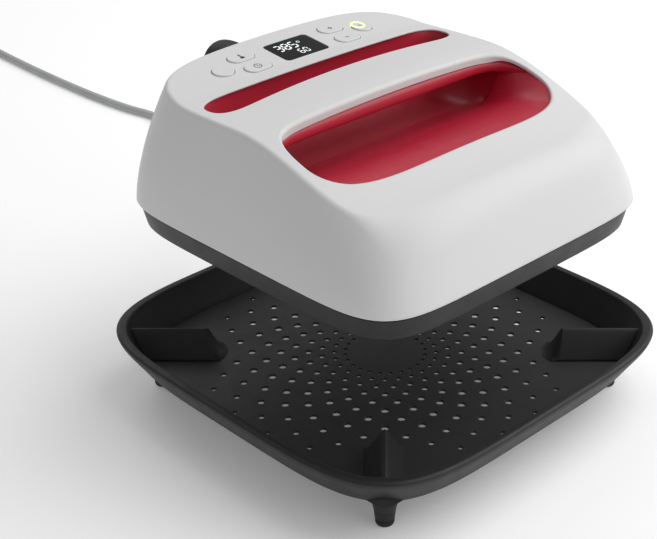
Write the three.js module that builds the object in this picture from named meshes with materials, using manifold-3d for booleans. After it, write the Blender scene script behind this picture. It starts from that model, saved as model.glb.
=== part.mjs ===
// A hand-held heat press held above its docking base, in millimetres with +Z up.
// The origin is the centre of the base at table level. The front faces -Y and the control panel lies along +Y.

import * as THREE from 'three';
import { mergeVertices } from 'three/addons/utils/BufferGeometryUtils.js';
import Module from 'manifold-3d';

const wasm = await Module();
wasm.setup();

const GAP = 0.3;

// Docking base
const BASE = {
  rimHalf: 157.5,
  rimTop: 52,
  undersideHalf: 139.5,
  underside: 22.4,
  shoulderHalf: 143.2,
  shoulder: 26.5,
  power: 4.84,
  lip: 6.5,
};
const FLOOR = { half: 140, bottom: 25.2, top: 27, ledgeHalf: 124 };
const VENTS = { rings: 11, perRing: 24, inner: 29, outer: 129, growth: 1.1, smallest: 3, swell: 3 };
const REST = { tip: 114, ridgeStart: 125.5, outer: 178, halfWidth: 13.4, ridgeHalf: 1.6, ridgeTop: 47 };
const FOOT = { reach: 115, tipRadius: 5.6, topRadius: 9, padHeight: 4, screwRadius: 1.5, headRadius: 3.2 };

// Press casing
const SHELL = { half: 133, power: 6.85, rim: 152, wall: 3, taper: 0.12, topPower: 5 };
const TOP = { crown: 237, frontDrop: 33, frontRun: 140, crownAt: 12, dip: 1, panelStart: 72, panelSlope: 0.109 };
const SIDE_DROP = 4;
const SKIRT = { bottom: 135, top: 150.7, bottomHalf: 128, topHalf: 131, wall: 3, flange: 4.5 };
const OPENING = { halfLength: 108, front: -72.5, rear: -7, radius: 27 };
const SLOT = { halfLength: 110.5, front: 37.5, rear: 61.5, radius: 12 };
const TUNNEL = { floor: 189, handleUnder: 218, liner: 2.5, handleBend: 4 };

// Control panel
const PANEL = { rear: 97.4, middle: 88.6, front: 79.4, pillX: 41.6, roundX: 64.4, proud: 0.8 };
const BUTTON = { round: 7.6, pillRadius: 6.1, pillHalf: 10.4, clearance: 0.4, bottom: 230 };
const WINDOW = { middle: 87.4, halfWidth: 19.6, halfDepth: 13.9, radius: 3, sink: 0.3, thickness: 2 };
const BOARD = { top: 225.6, thickness: 1.6, switchTop: 229.2 };

// Heating group
const PLATE = { half: 114.5, radius: 8, bottom: 134, top: 140 };
const ELEMENT = { radius: 3.2, runHalf: 74, pitch: 50, runs: 4 };
const PAD = { half: 110, bottom: 147.2, top: 155 };
const SHIELD = { half: 113, bottom: 155.3, top: 156.3 };
const POST = { reach: 92, radius: 4, bore: 1.8 };
const SIDE_SCREW = { reach: 120.6, bore: 1.8, headRadius: 3 };

// Power cord
const CORD = { radius: 3.8, exitX: -26, exitZ: 221, coilX: 135, coilY: 885, coilRadius: 41, bundle: 8.2 };
const BOOT = {
  radius: 16.2,
  end: 147,
  neck: 7.6,
  bend: new THREE.Vector3(-26, 133, 215),
  lead: new THREE.Vector3(0.12, 0.52, -0.84).normalize(),
  relief: 36,
};

const WHITE = [0xf2f2f0, 0.22, 0];
const RED = [0xa11425, 0.35, 0];
const BLACK = [0x2d2e30, 0.55, 0];
const CHARCOAL = [0x35373a, 0.7, 0];
const STEEL = [0xb9bcbf, 0.35, 0.9];
const CORD_GREY = [0x6f7173, 0.6, 0];
const CORNERS = [
  ['front_left', -1, -1],
  ['front_right', 1, -1],
  ['back_left', -1, 1],
  ['back_right', 1, 1],
];

const model = new THREE.Group();
model.name = 'heat_press';

// ---- Solid helpers ----

function facingOut(geometry) {
  const positions = geometry.attributes.position;
  const index = geometry.index.array;
  const [a, b, c] = [new THREE.Vector3(), new THREE.Vector3(), new THREE.Vector3()];
  let volume = 0;
  for (let i = 0; i < index.length; i += 3) {
    a.fromBufferAttribute(positions, index[i]);
    b.fromBufferAttribute(positions, index[i + 1]);
    c.fromBufferAttribute(positions, index[i + 2]);
    volume += a.dot(b.cross(c));
  }
  if (volume < 0) {
    for (let i = 0; i < index.length; i += 3) {
      [index[i], index[i + 1]] = [index[i + 1], index[i]];
    }
  }
  return geometry;
}

function welded(geometry) {
  const bare = geometry.clone();
  bare.deleteAttribute('normal');
  bare.deleteAttribute('uv');
  return facingOut(mergeVertices(bare, 1e-4));
}

function toSolid(geometry) {
  const bare = welded(geometry);
  return new wasm.Manifold(new wasm.Mesh({
    numProp: 3,
    vertProperties: Float32Array.from(bare.attributes.position.array),
    triVerts: Uint32Array.from(bare.index.array),
  }));
}

function toGeometry(solid) {
  const mesh = solid.getMesh();
  const geometry = new THREE.BufferGeometry();
  geometry.setAttribute('position', new THREE.BufferAttribute(mesh.vertProperties, 3));
  geometry.setIndex(new THREE.BufferAttribute(mesh.triVerts, 1));
  return geometry;
}

function carve(geometry, cutters) {
  let solid = toSolid(geometry);
  for (const cutter of cutters) {
    solid = solid.subtract(toSolid(cutter));
  }
  return toGeometry(solid);
}

function joined(geometries) {
  let solid = toSolid(geometries[0]);
  for (const geometry of geometries.slice(1)) {
    solid = solid.add(toSolid(geometry));
  }
  return toGeometry(solid);
}

function overlap(first, second) {
  return toGeometry(toSolid(first).intersect(toSolid(second)));
}

function addPiece(name, geometry, [colour, roughness, metalness]) {
  const mesh = new THREE.Mesh(
    welded(geometry),
    new THREE.MeshStandardMaterial({ color: colour, roughness, metalness }),
  );
  mesh.name = name;
  model.add(mesh);
}

function block(x0, x1, y0, y1, z0, z1) {
  const geometry = new THREE.BoxGeometry(x1 - x0, y1 - y0, z1 - z0);
  return geometry.translate((x0 + x1) / 2, (y0 + y1) / 2, (z0 + z1) / 2);
}

function rod(radius, bottom, top, x = 0, y = 0, sides = 16) {
  const geometry = new THREE.CylinderGeometry(radius, radius, top - bottom, sides);
  geometry.rotateX(Math.PI / 2);
  return geometry.translate(x, y, (bottom + top) / 2);
}

function turned(profile, sides = 20) {
  const points = profile.map(([radius, height]) => new THREE.Vector2(radius, height));
  return new THREE.LatheGeometry(points, sides).rotateX(Math.PI / 2);
}

function prism(shape, bottom, top, curveSegments = 6) {
  const geometry = new THREE.ExtrudeGeometry(shape, { depth: top - bottom, bevelEnabled: false, curveSegments });
  return geometry.translate(0, 0, bottom);
}

function roundedRectangle(x0, x1, y0, y1, radius) {
  const shape = new THREE.Shape();
  shape.moveTo(x0 + radius, y0);
  shape.lineTo(x1 - radius, y0);
  shape.absarc(x1 - radius, y0 + radius, radius, -Math.PI / 2, 0);
  shape.lineTo(x1, y1 - radius);
  shape.absarc(x1 - radius, y1 - radius, radius, 0, Math.PI / 2);
  shape.lineTo(x0 + radius, y1);
  shape.absarc(x0 + radius, y1 - radius, radius, Math.PI / 2, Math.PI);
  shape.lineTo(x0, y0 + radius);
  shape.absarc(x0 + radius, y0 + radius, radius, Math.PI, Math.PI * 1.5);
  return shape;
}

function squarePrism(half, radius, bottom, top) {
  return prism(roundedRectangle(-half, half, -half, half, radius), bottom, top, 5);
}

// A square with bowed sides and round corners: |x/half|^power + |y/half|^power = 1.
function bowedSquare(half, power, count = 40) {
  return Array.from({ length: count }, (_, i) => {
    const angle = (2 * Math.PI * (i + 0.5)) / count;
    const bend = (value) => Math.sign(value) * Math.abs(value) ** (2 / power);
    return new THREE.Vector2(half * bend(Math.cos(angle)), half * bend(Math.sin(angle)));
  });
}

// Skins a stack of equally long rings and closes both ends with a fan.
function loft(rings) {
  const count = rings[0].length;
  const centre = (ring) => ring.reduce((sum, p) => sum.add(p), new THREE.Vector3()).divideScalar(count);
  const points = [...rings.flat(), centre(rings[0]), centre(rings[rings.length - 1])];
  const bottomCentre = rings.length * count;
  const index = [];
  for (let i = 0; i < count; i += 1) {
    const next = (i + 1) % count;
    for (let row = 0; row < rings.length - 1; row += 1) {
      const [a, b] = [row * count + i, row * count + next];
      index.push(a, b, b + count, a, b + count, a + count);
    }
    const last = (rings.length - 1) * count;
    index.push(bottomCentre, next, i, bottomCentre + 1, last + i, last + next);
  }
  const geometry = new THREE.BufferGeometry().setFromPoints(points);
  geometry.setIndex(index);
  return facingOut(geometry);
}

function levelRing(half, power, height) {
  return bowedSquare(half, power).map(({ x, y }) => new THREE.Vector3(x, y, height));
}

// ---- Docking base ----

function baseHalfAt(height) {
  const share = (height - BASE.shoulder) / (BASE.rimTop - BASE.shoulder);
  return BASE.shoulderHalf + (BASE.rimHalf - BASE.shoulderHalf) * share;
}

function trayHollow(clearance = 0) {
  const bottom = FLOOR.bottom - GAP;
  const lipHalf = BASE.rimHalf - BASE.lip - clearance;
  return loft([
    levelRing(FLOOR.half + GAP - clearance, BASE.power, bottom),
    levelRing(FLOOR.half + GAP - clearance, BASE.power, FLOOR.top),
    levelRing(lipHalf, BASE.power, BASE.rimTop - 2),
    levelRing(lipHalf + 2, BASE.power, BASE.rimTop + 1),
  ]);
}

function buildTray() {
  const outside = loft([
    levelRing(BASE.undersideHalf, BASE.power, BASE.underside),
    levelRing(BASE.shoulderHalf, BASE.power, BASE.shoulder),
    levelRing(baseHalfAt(BASE.rimTop - 5), BASE.power, BASE.rimTop - 5),
    levelRing(BASE.rimHalf, BASE.power, BASE.rimTop - 2),
    levelRing(BASE.rimHalf - 2, BASE.power, BASE.rimTop),
  ]);
  const ledgeOpening = loft([
    levelRing(FLOOR.ledgeHalf, BASE.power, BASE.underside - 1),
    levelRing(FLOOR.ledgeHalf, BASE.power, FLOOR.top),
  ]);
  const screwHoles = CORNERS.map(([, sx, sy]) => (
    rod(FOOT.screwRadius + GAP, BASE.underside - 1, FLOOR.top, sx * FOOT.reach, sy * FOOT.reach, 10)
  ));
  addPiece('base_tray', carve(outside, [trayHollow(), ledgeOpening, ...screwHoles]), BLACK);
}

function ventRadius(ring) {
  const share = ring / (VENTS.rings - 1);
  return VENTS.inner + (VENTS.outer - VENTS.inner) * share ** VENTS.growth;
}

function ventDiameter(ring) {
  const share = ring / (VENTS.rings - 1);
  return VENTS.smallest + VENTS.swell * Math.sin(Math.PI * share ** 1.15) + 0.8 * share;
}

function ventShape() {
  const plate = new THREE.Shape(bowedSquare(FLOOR.half, BASE.power));
  const squares = [];
  for (let ring = 0; ring < VENTS.rings; ring += 1) {
    for (let i = 0; i < VENTS.perRing; i += 1) {
      const angle = (2 * Math.PI * (i + 0.5 * ((ring + 1) % 2))) / VENTS.perRing;
      const centre = new THREE.Vector2(Math.cos(angle), Math.sin(angle)).multiplyScalar(ventRadius(ring));
      const along = (Math.abs(centre.x) + Math.abs(centre.y)) / Math.SQRT2;
      const across = Math.abs(Math.abs(centre.x) - Math.abs(centre.y)) / Math.SQRT2;
      if (along < REST.tip - 6 || across > REST.halfWidth + 4) {
        squares.push({ centre, radius: ventDiameter(ring) / 2 });
      }
    }
  }
  for (const { centre, radius } of squares) {
    const hole = new THREE.Path();
    hole.setFromPoints([0, 1, 2, 3].map((k) => new THREE.Vector2(
      centre.x + radius * Math.cos((k * Math.PI) / 2),
      centre.y + radius * Math.sin((k * Math.PI) / 2),
    )));
    hole.closePath();
    plate.holes.push(hole);
  }
  return plate;
}

function buildFloor() {
  const screwHoles = CORNERS.map(([, sx, sy]) => (
    rod(FOOT.screwRadius + GAP, FLOOR.bottom - 1, FLOOR.top + 1, sx * FOOT.reach, sy * FOOT.reach, 10)
  ));
  addPiece('vent_floor', carve(prism(ventShape(), FLOOR.bottom, FLOOR.top), screwHoles), CHARCOAL);
}

function buildRest(name, sx, sy) {
  const bottom = FLOOR.top + GAP;
  const { tip, ridgeStart, outer, halfWidth, ridgeHalf, ridgeTop } = REST;
  const corner = (along, across, height) => new THREE.Vector3(along, across, height);
  const roof = loft([
    [corner(tip, -3, bottom), corner(outer, -halfWidth, bottom), corner(outer, halfWidth, bottom),
      corner(tip, 3, bottom), corner(tip + 6, halfWidth, bottom), corner(tip + 6, -halfWidth, bottom)].sort(
      (p, q) => Math.atan2(p.y, p.x - 145) - Math.atan2(q.y, q.x - 145),
    ),
    [corner(ridgeStart, -0.5, ridgeTop), corner(outer, -ridgeHalf, ridgeTop), corner(outer, ridgeHalf, ridgeTop),
      corner(ridgeStart, 0.5, ridgeTop), corner(ridgeStart + 2, ridgeHalf, ridgeTop),
      corner(ridgeStart + 2, -ridgeHalf, ridgeTop)].sort(
      (p, q) => Math.atan2(p.y, p.x - 145) - Math.atan2(q.y, q.x - 145),
    ),
  ]);
  roof.rotateZ(Math.atan2(sy, sx));
  const screwHole = rod(FOOT.screwRadius + GAP, bottom - 1, 41, sx * FOOT.reach, sy * FOOT.reach, 10);
  addPiece(`corner_rest_${name}`, carve(overlap(roof, trayHollow(GAP)), [screwHole]), CHARCOAL);
}

function buildFoot(name, sx, sy) {
  const [x, y] = [sx * FOOT.reach, sy * FOOT.reach];
  const bottom = FOOT.padHeight + GAP;
  const top = BASE.underside - GAP;
  const bore = FOOT.screwRadius + GAP;
  const seat = bottom + 6;
  const foot = turned([
    [bore, seat],
    [FOOT.headRadius + GAP, seat],
    [FOOT.headRadius + GAP, bottom],
    [FOOT.tipRadius, bottom],
    [FOOT.topRadius - 1.5, top - 5],
    [FOOT.topRadius, top],
    [bore, top],
    [bore, seat],
  ], 14);
  addPiece(`foot_${name}`, foot.translate(x, y, 0), BLACK);
  const pad = turned([[0, 0], [FOOT.tipRadius - 1.2, 0], [FOOT.tipRadius, 1.4], [FOOT.tipRadius, 4], [0, 4]], 14);
  addPiece(`foot_pad_${name}`, pad.translate(x, y, 0), CHARCOAL);
  const screw = turned([
    [0, seat - GAP - 2.4],
    [FOOT.headRadius, seat - GAP - 2.4],
    [FOOT.headRadius, seat - GAP],
    [FOOT.screwRadius, seat - GAP],
    [FOOT.screwRadius, 38],
    [0, 39],
  ], 8);
  addPiece(`foot_screw_${name}`, screw.translate(x, y, 0), STEEL);
}

// ---- Press casing ----

function topHeight(x, y) {
  const front = TOP.frontDrop * THREE.MathUtils.smoothstep(TOP.crownAt - y, 0, TOP.frontRun);
  const dip = TOP.dip * THREE.MathUtils.smoothstep(y, TOP.crownAt, TOP.panelStart);
  const panel = TOP.panelSlope * Math.max(0, y - TOP.panelStart);
  return TOP.crown - front - dip + panel - SIDE_DROP * (x / 105) ** 2;
}

// The casing's outline at a share of its height: it leans in and grows rounder towards the top.
function casingOutline(inset, share) {
  const lean = share ** 1.5;
  const power = SHELL.power + (SHELL.topPower - SHELL.power) * lean;
  return bowedSquare((SHELL.half - inset) * (1 - SHELL.taper * lean), power);
}

// The casing's outer form shrunk by inset, from the given bottom height up to the top surface.
function casingForm(inset, bottom) {
  const crease = casingOutline(inset, 1);
  const rings = [levelRing(SHELL.half - inset, SHELL.power, bottom)];
  for (const share of [0.02, 0.35, 0.65, 0.92]) {
    rings.push(casingOutline(inset, share).map(({ x, y }, i) => {
      const top = topHeight(crease[i].x, crease[i].y) - inset;
      return new THREE.Vector3(x, y, SHELL.rim + share * (top - SHELL.rim));
    }));
  }
  for (const [share, sink] of [[0.985, 1.3], [0.92, 0], [0.66, 0], [0.35, 0]]) {
    rings.push(crease.map((p) => {
      const [x, y] = [p.x * share, p.y * share];
      return new THREE.Vector3(x, y, topHeight(x, y) - inset - sink);
    }));
  }
  return loft(rings);
}

function openingPrism(opening, grow = 0) {
  const half = opening.halfLength + grow;
  return prism(roundedRectangle(
    -half,
    half,
    opening.front - grow,
    opening.rear + grow,
    opening.radius + grow,
  ), 180, 260);
}

// The hand tunnel: down from the front opening, under the handle and up to the rear slot.
function handTunnel(grow) {
  const under = TUNNEL.handleUnder + grow;
  const bend = TUNNEL.handleBend;
  const [front, rear] = [OPENING.front - grow, SLOT.rear + grow];
  const [handleFront, handleRear] = [OPENING.rear + grow, SLOT.front - grow];
  const section = new THREE.Shape();
  section.moveTo(front, 260);
  section.lineTo(front, 213 - grow / 2);
  section.quadraticCurveTo(-40, TUNNEL.floor - grow, 8, TUNNEL.floor - grow);
  section.lineTo(38, TUNNEL.floor - grow);
  section.quadraticCurveTo(rear, TUNNEL.floor - grow, rear, TUNNEL.floor + 20);
  section.lineTo(rear, 260);
  section.lineTo(handleRear, 260);
  section.lineTo(handleRear, under + bend);
  section.quadraticCurveTo(handleRear, under, handleRear - bend, under);
  section.lineTo(handleFront + bend, under);
  section.quadraticCurveTo(handleFront, under, handleFront, under + bend);
  section.lineTo(handleFront, 260);
  const half = SLOT.halfLength + grow;
  const along = prism(section, -half, half, 5);
  along.applyMatrix4(new THREE.Matrix4().makeBasis(
    new THREE.Vector3(0, 1, 0),
    new THREE.Vector3(0, 0, 1),
    new THREE.Vector3(1, 0, 0),
  ));
  const plan = prism(roundedRectangle(-half, half, front, rear, SLOT.radius + grow), 150, 261);
  return overlap(along, plan);
}

function buttonOutline(kind, x, y, grow = 0) {
  if (kind === 'round') {
    const shape = new THREE.Shape();
    shape.absarc(x, y, BUTTON.round + grow, 0, 2 * Math.PI);
    return shape;
  }
  const [half, radius] = [BUTTON.pillHalf + grow, BUTTON.pillRadius + grow];
  return roundedRectangle(x - half, x + half, y - radius, y + radius, radius - 0.01);
}

const BUTTONS = [
  ['start_button', 'round', -PANEL.roundX, PANEL.middle],
  ['power_button', 'round', PANEL.roundX, PANEL.middle],
  ['temperature_button', 'pill', -PANEL.pillX, PANEL.rear],
  ['timer_button', 'pill', -PANEL.pillX, PANEL.front],
  ['plus_button', 'pill', PANEL.pillX, PANEL.rear],
  ['minus_button', 'pill', PANEL.pillX, PANEL.front],
];

function windowPrism(grow, bottom, top) {
  const { halfWidth, halfDepth, radius } = WINDOW;
  return prism(roundedRectangle(
    -halfWidth - grow,
    halfWidth + grow,
    WINDOW.middle - halfDepth - grow,
    WINDOW.middle + halfDepth + grow,
    radius + grow,
  ), bottom, top, 3);
}

function sideScrewPlaces() {
  const r = SIDE_SCREW.reach;
  return [['left', -r, 0], ['right', r, 0], ['front', 0, -r], ['back', 0, r]];
}

function sideBoss(x, y) {
  const [ux, uy] = [Math.sign(x), Math.sign(y)];
  const span = (from, to, half) => (ux !== 0
    ? [Math.min(ux * from, ux * to), Math.max(ux * from, ux * to), -half, half]
    : [-half, half, Math.min(uy * from, uy * to), Math.max(uy * from, uy * to)]);
  const column = block(...span(117, 124.4, 5.5), SKIRT.bottom + SKIRT.flange + GAP, 172);
  const web = block(...span(118, 128.5, 5.5), 156, 171);
  return [column, web];
}

function buildShell() {
  const wall = carve(casingForm(0, SHELL.rim), [casingForm(SHELL.wall, SHELL.rim - 2)]);
  const bosses = sideScrewPlaces().flatMap(([, x, y]) => sideBoss(x, y));
  const cutters = [
    openingPrism(OPENING),
    openingPrism(SLOT),
    windowPrism(GAP, 215, 250),
    rod(BOOT.neck + GAP, 95, 130).rotateX(-Math.PI / 2).translate(CORD.exitX, 0, CORD.exitZ),
    ...BUTTONS.map(([, kind, x, y]) => prism(buttonOutline(kind, x, y, BUTTON.clearance), 215, 250)),
    ...sideScrewPlaces().map(([, x, y]) => rod(SIDE_SCREW.bore, 130, 160, x, y, 10)),
  ];
  addPiece('top_shell', carve(joined([wall, ...bosses]), cutters), WHITE);
}

function buildLiner() {
  const sleeve = carve(handTunnel(TUNNEL.liner), [handTunnel(0)]);
  addPiece('grip_liner', overlap(sleeve, casingForm(SHELL.wall + GAP, SHELL.rim - 2)), RED);
}

function buildPanel() {
  const skin = carve(casingForm(WINDOW.sink, 190), [casingForm(WINDOW.sink + WINDOW.thickness, 180)]);
  addPiece('display_window', overlap(skin, windowPrism(0, 215, 250)), [0x15171a, 0.08, 0]);
  const raised = casingForm(-PANEL.proud, 190);
  for (const [name, kind, x, y] of BUTTONS) {
    let cap = overlap(raised, prism(buttonOutline(kind, x, y), BUTTON.bottom, 260));
    if (name === 'power_button') {
      cap = carve(cap, [rod(5.9, 237, 250, x, y, 24)]);
      cap = joined([cap, overlap(raised, rod(4.4, BUTTON.bottom, 250, x, y, 24))]);
    }
    addPiece(name, cap, WHITE);
  }
}

function buildPowerLight() {
  const ring = carve(rod(5.6, 237.3, 250, PANEL.roundX, PANEL.middle, 24), [
    rod(4.7, 230, 255, PANEL.roundX, PANEL.middle, 24),
  ]);
  addPiece('power_light_ring', overlap(ring, casingForm(-PANEL.proud, 190)), [0xb9e86a, 0.4, 0]);
}

function buildBoards() {
  const board = block(-75, 75, 67, 101.6, BOARD.top - BOARD.thickness, BOARD.top);
  const switches = BUTTONS.map(([, , x, y]) => block(x - 3, x + 3, y - 3, y + 3, BOARD.top - 0.2, BOARD.switchTop));
  const display = block(-17, 17, 79, 99, BOARD.top - 0.2, 231);
  const buzzer = rod(6, 218, BOARD.top - 1, -60, 74);
  addPiece('control_board', joined([board, ...switches, display, buzzer]), [0x1f6b3a, 0.6, 0]);
  const base = block(-60, 60, 68, 112, 163, 164.6);
  const relay = block(-50, -22, 76, 94, 164.4, 182);
  const supply = block(-8, 28, 74, 104, 164.4, 186);
  const capacitor = rod(7, 164.4, 189, 46, 90);
  addPiece('power_board', joined([base, relay, supply, capacitor]), [0x1d5f52, 0.6, 0]);
}

function buildSkirt() {
  const { bottom, top, bottomHalf, topHalf, wall, flange } = SKIRT;
  const outside = loft([
    levelRing(bottomHalf - 1.5, SHELL.power, bottom),
    levelRing(bottomHalf, SHELL.power, bottom + 2),
    levelRing(topHalf, SHELL.power, top),
  ]);
  const hollow = loft([
    levelRing(bottomHalf - wall, SHELL.power, bottom + flange),
    levelRing(topHalf - wall, SHELL.power, top + 1),
  ]);
  const plateOpening = squarePrism(PLATE.half + 0.7, PLATE.radius + 0.7, bottom - 1, top);
  const holes = sideScrewPlaces().flatMap(([, x, y]) => [
    rod(SIDE_SCREW.bore, bottom - 1, top, x, y, 10),
    rod(SIDE_SCREW.headRadius + GAP, bottom - 1, bottom + 2.4, x, y, 14),
  ]);
  addPiece('skirt', carve(outside, [hollow, plateOpening, ...holes]), BLACK);
}

function buildSideScrews() {
  const seat = SKIRT.bottom + 2.4 - GAP;
  const profile = [[0, seat - 1.8], [3, seat - 1.8], [3, seat], [1.5, seat], [1.5, 156], [0, 157]];
  for (const [name, x, y] of sideScrewPlaces()) {
    addPiece(`skirt_screw_${name}`, turned(profile, 8).translate(x, y, 0), STEEL);
  }
}

// ---- Heating group ----

function buildHeatPlate() {
  const body = squarePrism(PLATE.half, PLATE.radius, PLATE.bottom, PLATE.top);
  addPiece('heat_plate', body, [0x4a4c4e, 0.45, 0.6]);
}

function buildElement() {
  const path = new THREE.CurvePath();
  const height = PLATE.top + GAP + ELEMENT.radius;
  const start = -(ELEMENT.pitch * (ELEMENT.runs - 1)) / 2;
  const turn = ELEMENT.pitch / 2;
  const reach = ELEMENT.runHalf - turn;
  for (let run = 0; run < ELEMENT.runs; run += 1) {
    const side = run % 2 === 0 ? 1 : -1;
    const y = start + run * ELEMENT.pitch;
    path.add(new THREE.LineCurve3(
      new THREE.Vector3(-side * reach, y, height),
      new THREE.Vector3(side * reach, y, height),
    ));
    if (run < ELEMENT.runs - 1) {
      const outer = side * (reach + turn * 4 / 3);
      path.add(new THREE.CubicBezierCurve3(
        new THREE.Vector3(side * reach, y, height),
        new THREE.Vector3(outer, y, height),
        new THREE.Vector3(outer, y + ELEMENT.pitch, height),
        new THREE.Vector3(side * reach, y + ELEMENT.pitch, height),
      ));
    }
  }
  const section = new THREE.Shape();
  section.absarc(0, 0, ELEMENT.radius, 0, 2 * Math.PI);
  const bar = new THREE.ExtrudeGeometry(section, { steps: 48, extrudePath: path, curveSegments: 3 });
  addPiece('heating_element', bar, STEEL);
}

function buildHeatStack() {
  const posts = CORNERS.map(([, sx, sy]) => [sx * POST.reach, sy * POST.reach]);
  const padHoles = posts.map(([x, y]) => rod(POST.radius + 0.5, 140, 160, x, y, 14));
  addPiece('insulation_pad', carve(squarePrism(PAD.half, 6, PAD.bottom, PAD.top), padHoles), [0xe7e1cf, 0.95, 0]);
  const shieldHoles = posts.map(([x, y]) => rod(POST.bore, 150, 160, x, y, 10));
  addPiece('heat_shield', carve(squarePrism(SHIELD.half, 6, SHIELD.bottom, SHIELD.top), shieldHoles), STEEL);
  for (const [name, sx, sy] of CORNERS) {
    const [x, y] = [sx * POST.reach, sy * POST.reach];
    const [low, high] = [PLATE.top + GAP, SHIELD.bottom - GAP];
    const tube = [[POST.bore, low], [POST.radius, low], [POST.radius, high], [POST.bore, high], [POST.bore, low]];
    addPiece(`plate_standoff_${name}`, turned(tube, 14).translate(x, y, 0), STEEL);
    const under = SHIELD.top + GAP;
    const screw = [[0, 143], [1.5, 143], [1.5, under], [3.2, under], [3.2, under + 1.6], [0, under + 2.2]];
    addPiece(`plate_screw_${name}`, turned(screw, 8).translate(x, y, 0), STEEL);
  }
  addPiece('thermistor', block(-7, 7, -3, 3, PLATE.top + GAP, PLATE.top + 4.3), [0xd9d5c8, 0.6, 0]);
  const fuse = rod(2.6, -9, 9, 0, 0, 12).rotateY(Math.PI / 2);
  addPiece('thermal_fuse', fuse.translate(40, -60, SHIELD.top + 3.2), [0xd8dadb, 0.3, 0.8]);
}

// ---- Power cord ----

function alongBack(profile, sides) {
  return turned(profile, sides).rotateX(-Math.PI / 2).translate(CORD.exitX, 0, CORD.exitZ);
}

function alongRelief(distance) {
  return BOOT.bend.clone().addScaledVector(BOOT.lead, distance);
}

function buildCordExit() {
  const dome = alongBack([
    [0, 106], [BOOT.radius, 106], [BOOT.radius, BOOT.end - 13], [BOOT.radius - 1.5, BOOT.end - 7],
    [BOOT.radius - 5, BOOT.end - 2], [4, BOOT.end], [0, BOOT.end],
  ], 20);
  const relief = turned([[0, 0], [8.6, 0], [7.6, 14], [5.2, BOOT.relief], [0, BOOT.relief]], 16);
  relief.applyQuaternion(new THREE.Quaternion().setFromUnitVectors(new THREE.Vector3(0, 0, 1), BOOT.lead));
  relief.translate(...BOOT.bend.toArray());
  const outside = carve(joined([dome, relief]), [casingForm(-GAP, SHELL.rim - 2)]);
  const neck = alongBack([[0, 105], [BOOT.neck, 105], [BOOT.neck, 130], [0, 130]], 20);
  addPiece('cord_boot', joined([outside, neck]), CHARCOAL);
  const gland = alongBack([[0, 101.9], [9.5, 101.9], [9.5, 104.7], [0, 104.7]], 6);
  addPiece('cord_gland', gland, [0x26282a, 0.5, 0]);
}

function cordTube(points, steps) {
  const route = new THREE.CatmullRomCurve3(points.map(([x, y, z]) => new THREE.Vector3(x, y, z)));
  const section = new THREE.Shape();
  section.absarc(0, 0, CORD.radius, 0, 2 * Math.PI);
  return new THREE.ExtrudeGeometry(section, { steps, extrudePath: route, curveSegments: 4 });
}

function buildCord() {
  const floor = CORD.radius + 0.1;
  addPiece('cord_drop', cordTube([
    alongRelief(BOOT.relief + 0.6).toArray(), alongRelief(BOOT.relief + 14).toArray(),
    [-7, 178, 148], [16, 210, 112], [51, 255, 73], [91, 306, 39], [128, 358, 17], [157, 413, 6], [177, 475, floor],
  ], 30), CORD_GREY);
  const coilEntry = CORD.coilY - 38;
  addPiece('cord_run', cordTube([
    [177.6, 476.4, floor], [186.8, 528.8, floor], [181, 560, floor], [176.2, 608.4, floor], [174.3, 668.6, floor],
    [174.6, 734.1, floor], [177, 800, floor],
    [CORD.coilX + CORD.coilRadius + 4, coilEntry, floor],
  ], 34), CORD_GREY);
  const [inner, outer] = [CORD.coilRadius - CORD.bundle, CORD.coilRadius + CORD.bundle];
  const top = 2 * CORD.bundle;
  const coil = turned([
    [inner + 2, 0.1], [outer - 2, 0.1], [outer, 3], [outer, top - 3],
    [outer - 2, top], [inner + 2, top], [inner, top - 3], [inner, 3], [inner + 2, 0.1],
  ], 28);
  const notch = block(
    CORD.coilRadius - 6, CORD.coilRadius + 12, -42, coilEntry - CORD.coilY + 10, -1, 2 * CORD.radius + 1,
  );
  addPiece('cord_coil', carve(coil, [notch]).translate(CORD.coilX, CORD.coilY, 0), CORD_GREY);
  const around = block(-CORD.bundle - 2.4, CORD.bundle + 2.4, -5, 5, 0.05, top + 1.8);
  const inside = block(-CORD.bundle - 1, CORD.bundle + 1, -6, 6, -1, top + GAP);
  const tie = carve(around, [inside]).rotateZ(Math.PI / 2);
  tie.translate(CORD.coilX, CORD.coilY + CORD.coilRadius, 0);
  addPiece('cord_tie', tie, CHARCOAL);
}

function buildPlug() {
  const [x, back] = [CORD.coilX - CORD.coilRadius - 4, CORD.coilY - 44];
  const front = back - 32;
  const lead = block(x - 5, x + 5, back - 1, back + 13, 0.2, 9);
  const body = prism(roundedRectangle(x - 13, x + 13, front, back, 5), 0.2, 24, 4);
  addPiece('plug_body', joined([body, lead]), CORD_GREY);
  const face = front - GAP;
  addPiece('plug_blade_left', block(x - 7.2, x - 5.6, face - 17, face, 8, 14.4), STEEL);
  addPiece('plug_blade_right', block(x + 5.6, x + 7.2, face - 17, face, 8, 14.4), STEEL);
  const earth = rod(2.4, face - 20, face, 0, 0, 12).rotateX(-Math.PI / 2);
  addPiece('plug_earth_pin', earth.translate(x, 0, 19), STEEL);
}

buildTray();
buildFloor();
for (const [name, sx, sy] of CORNERS) {
  buildRest(name, sx, sy);
  buildFoot(name, sx, sy);
}
buildShell();
buildLiner();
buildPanel();
buildPowerLight();
buildBoards();
buildSkirt();
buildSideScrews();
buildHeatPlate();
buildElement();
buildHeatStack();
buildCordExit();
buildCord();
buildPlug();

export default model;
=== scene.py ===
"""A square hand-held heat press above its vented docking base, with its cord on the table behind it."""

import math

import bpy
import numpy as np
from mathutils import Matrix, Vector
from mathutils.geometry import delaunay_2d_cdt


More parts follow.
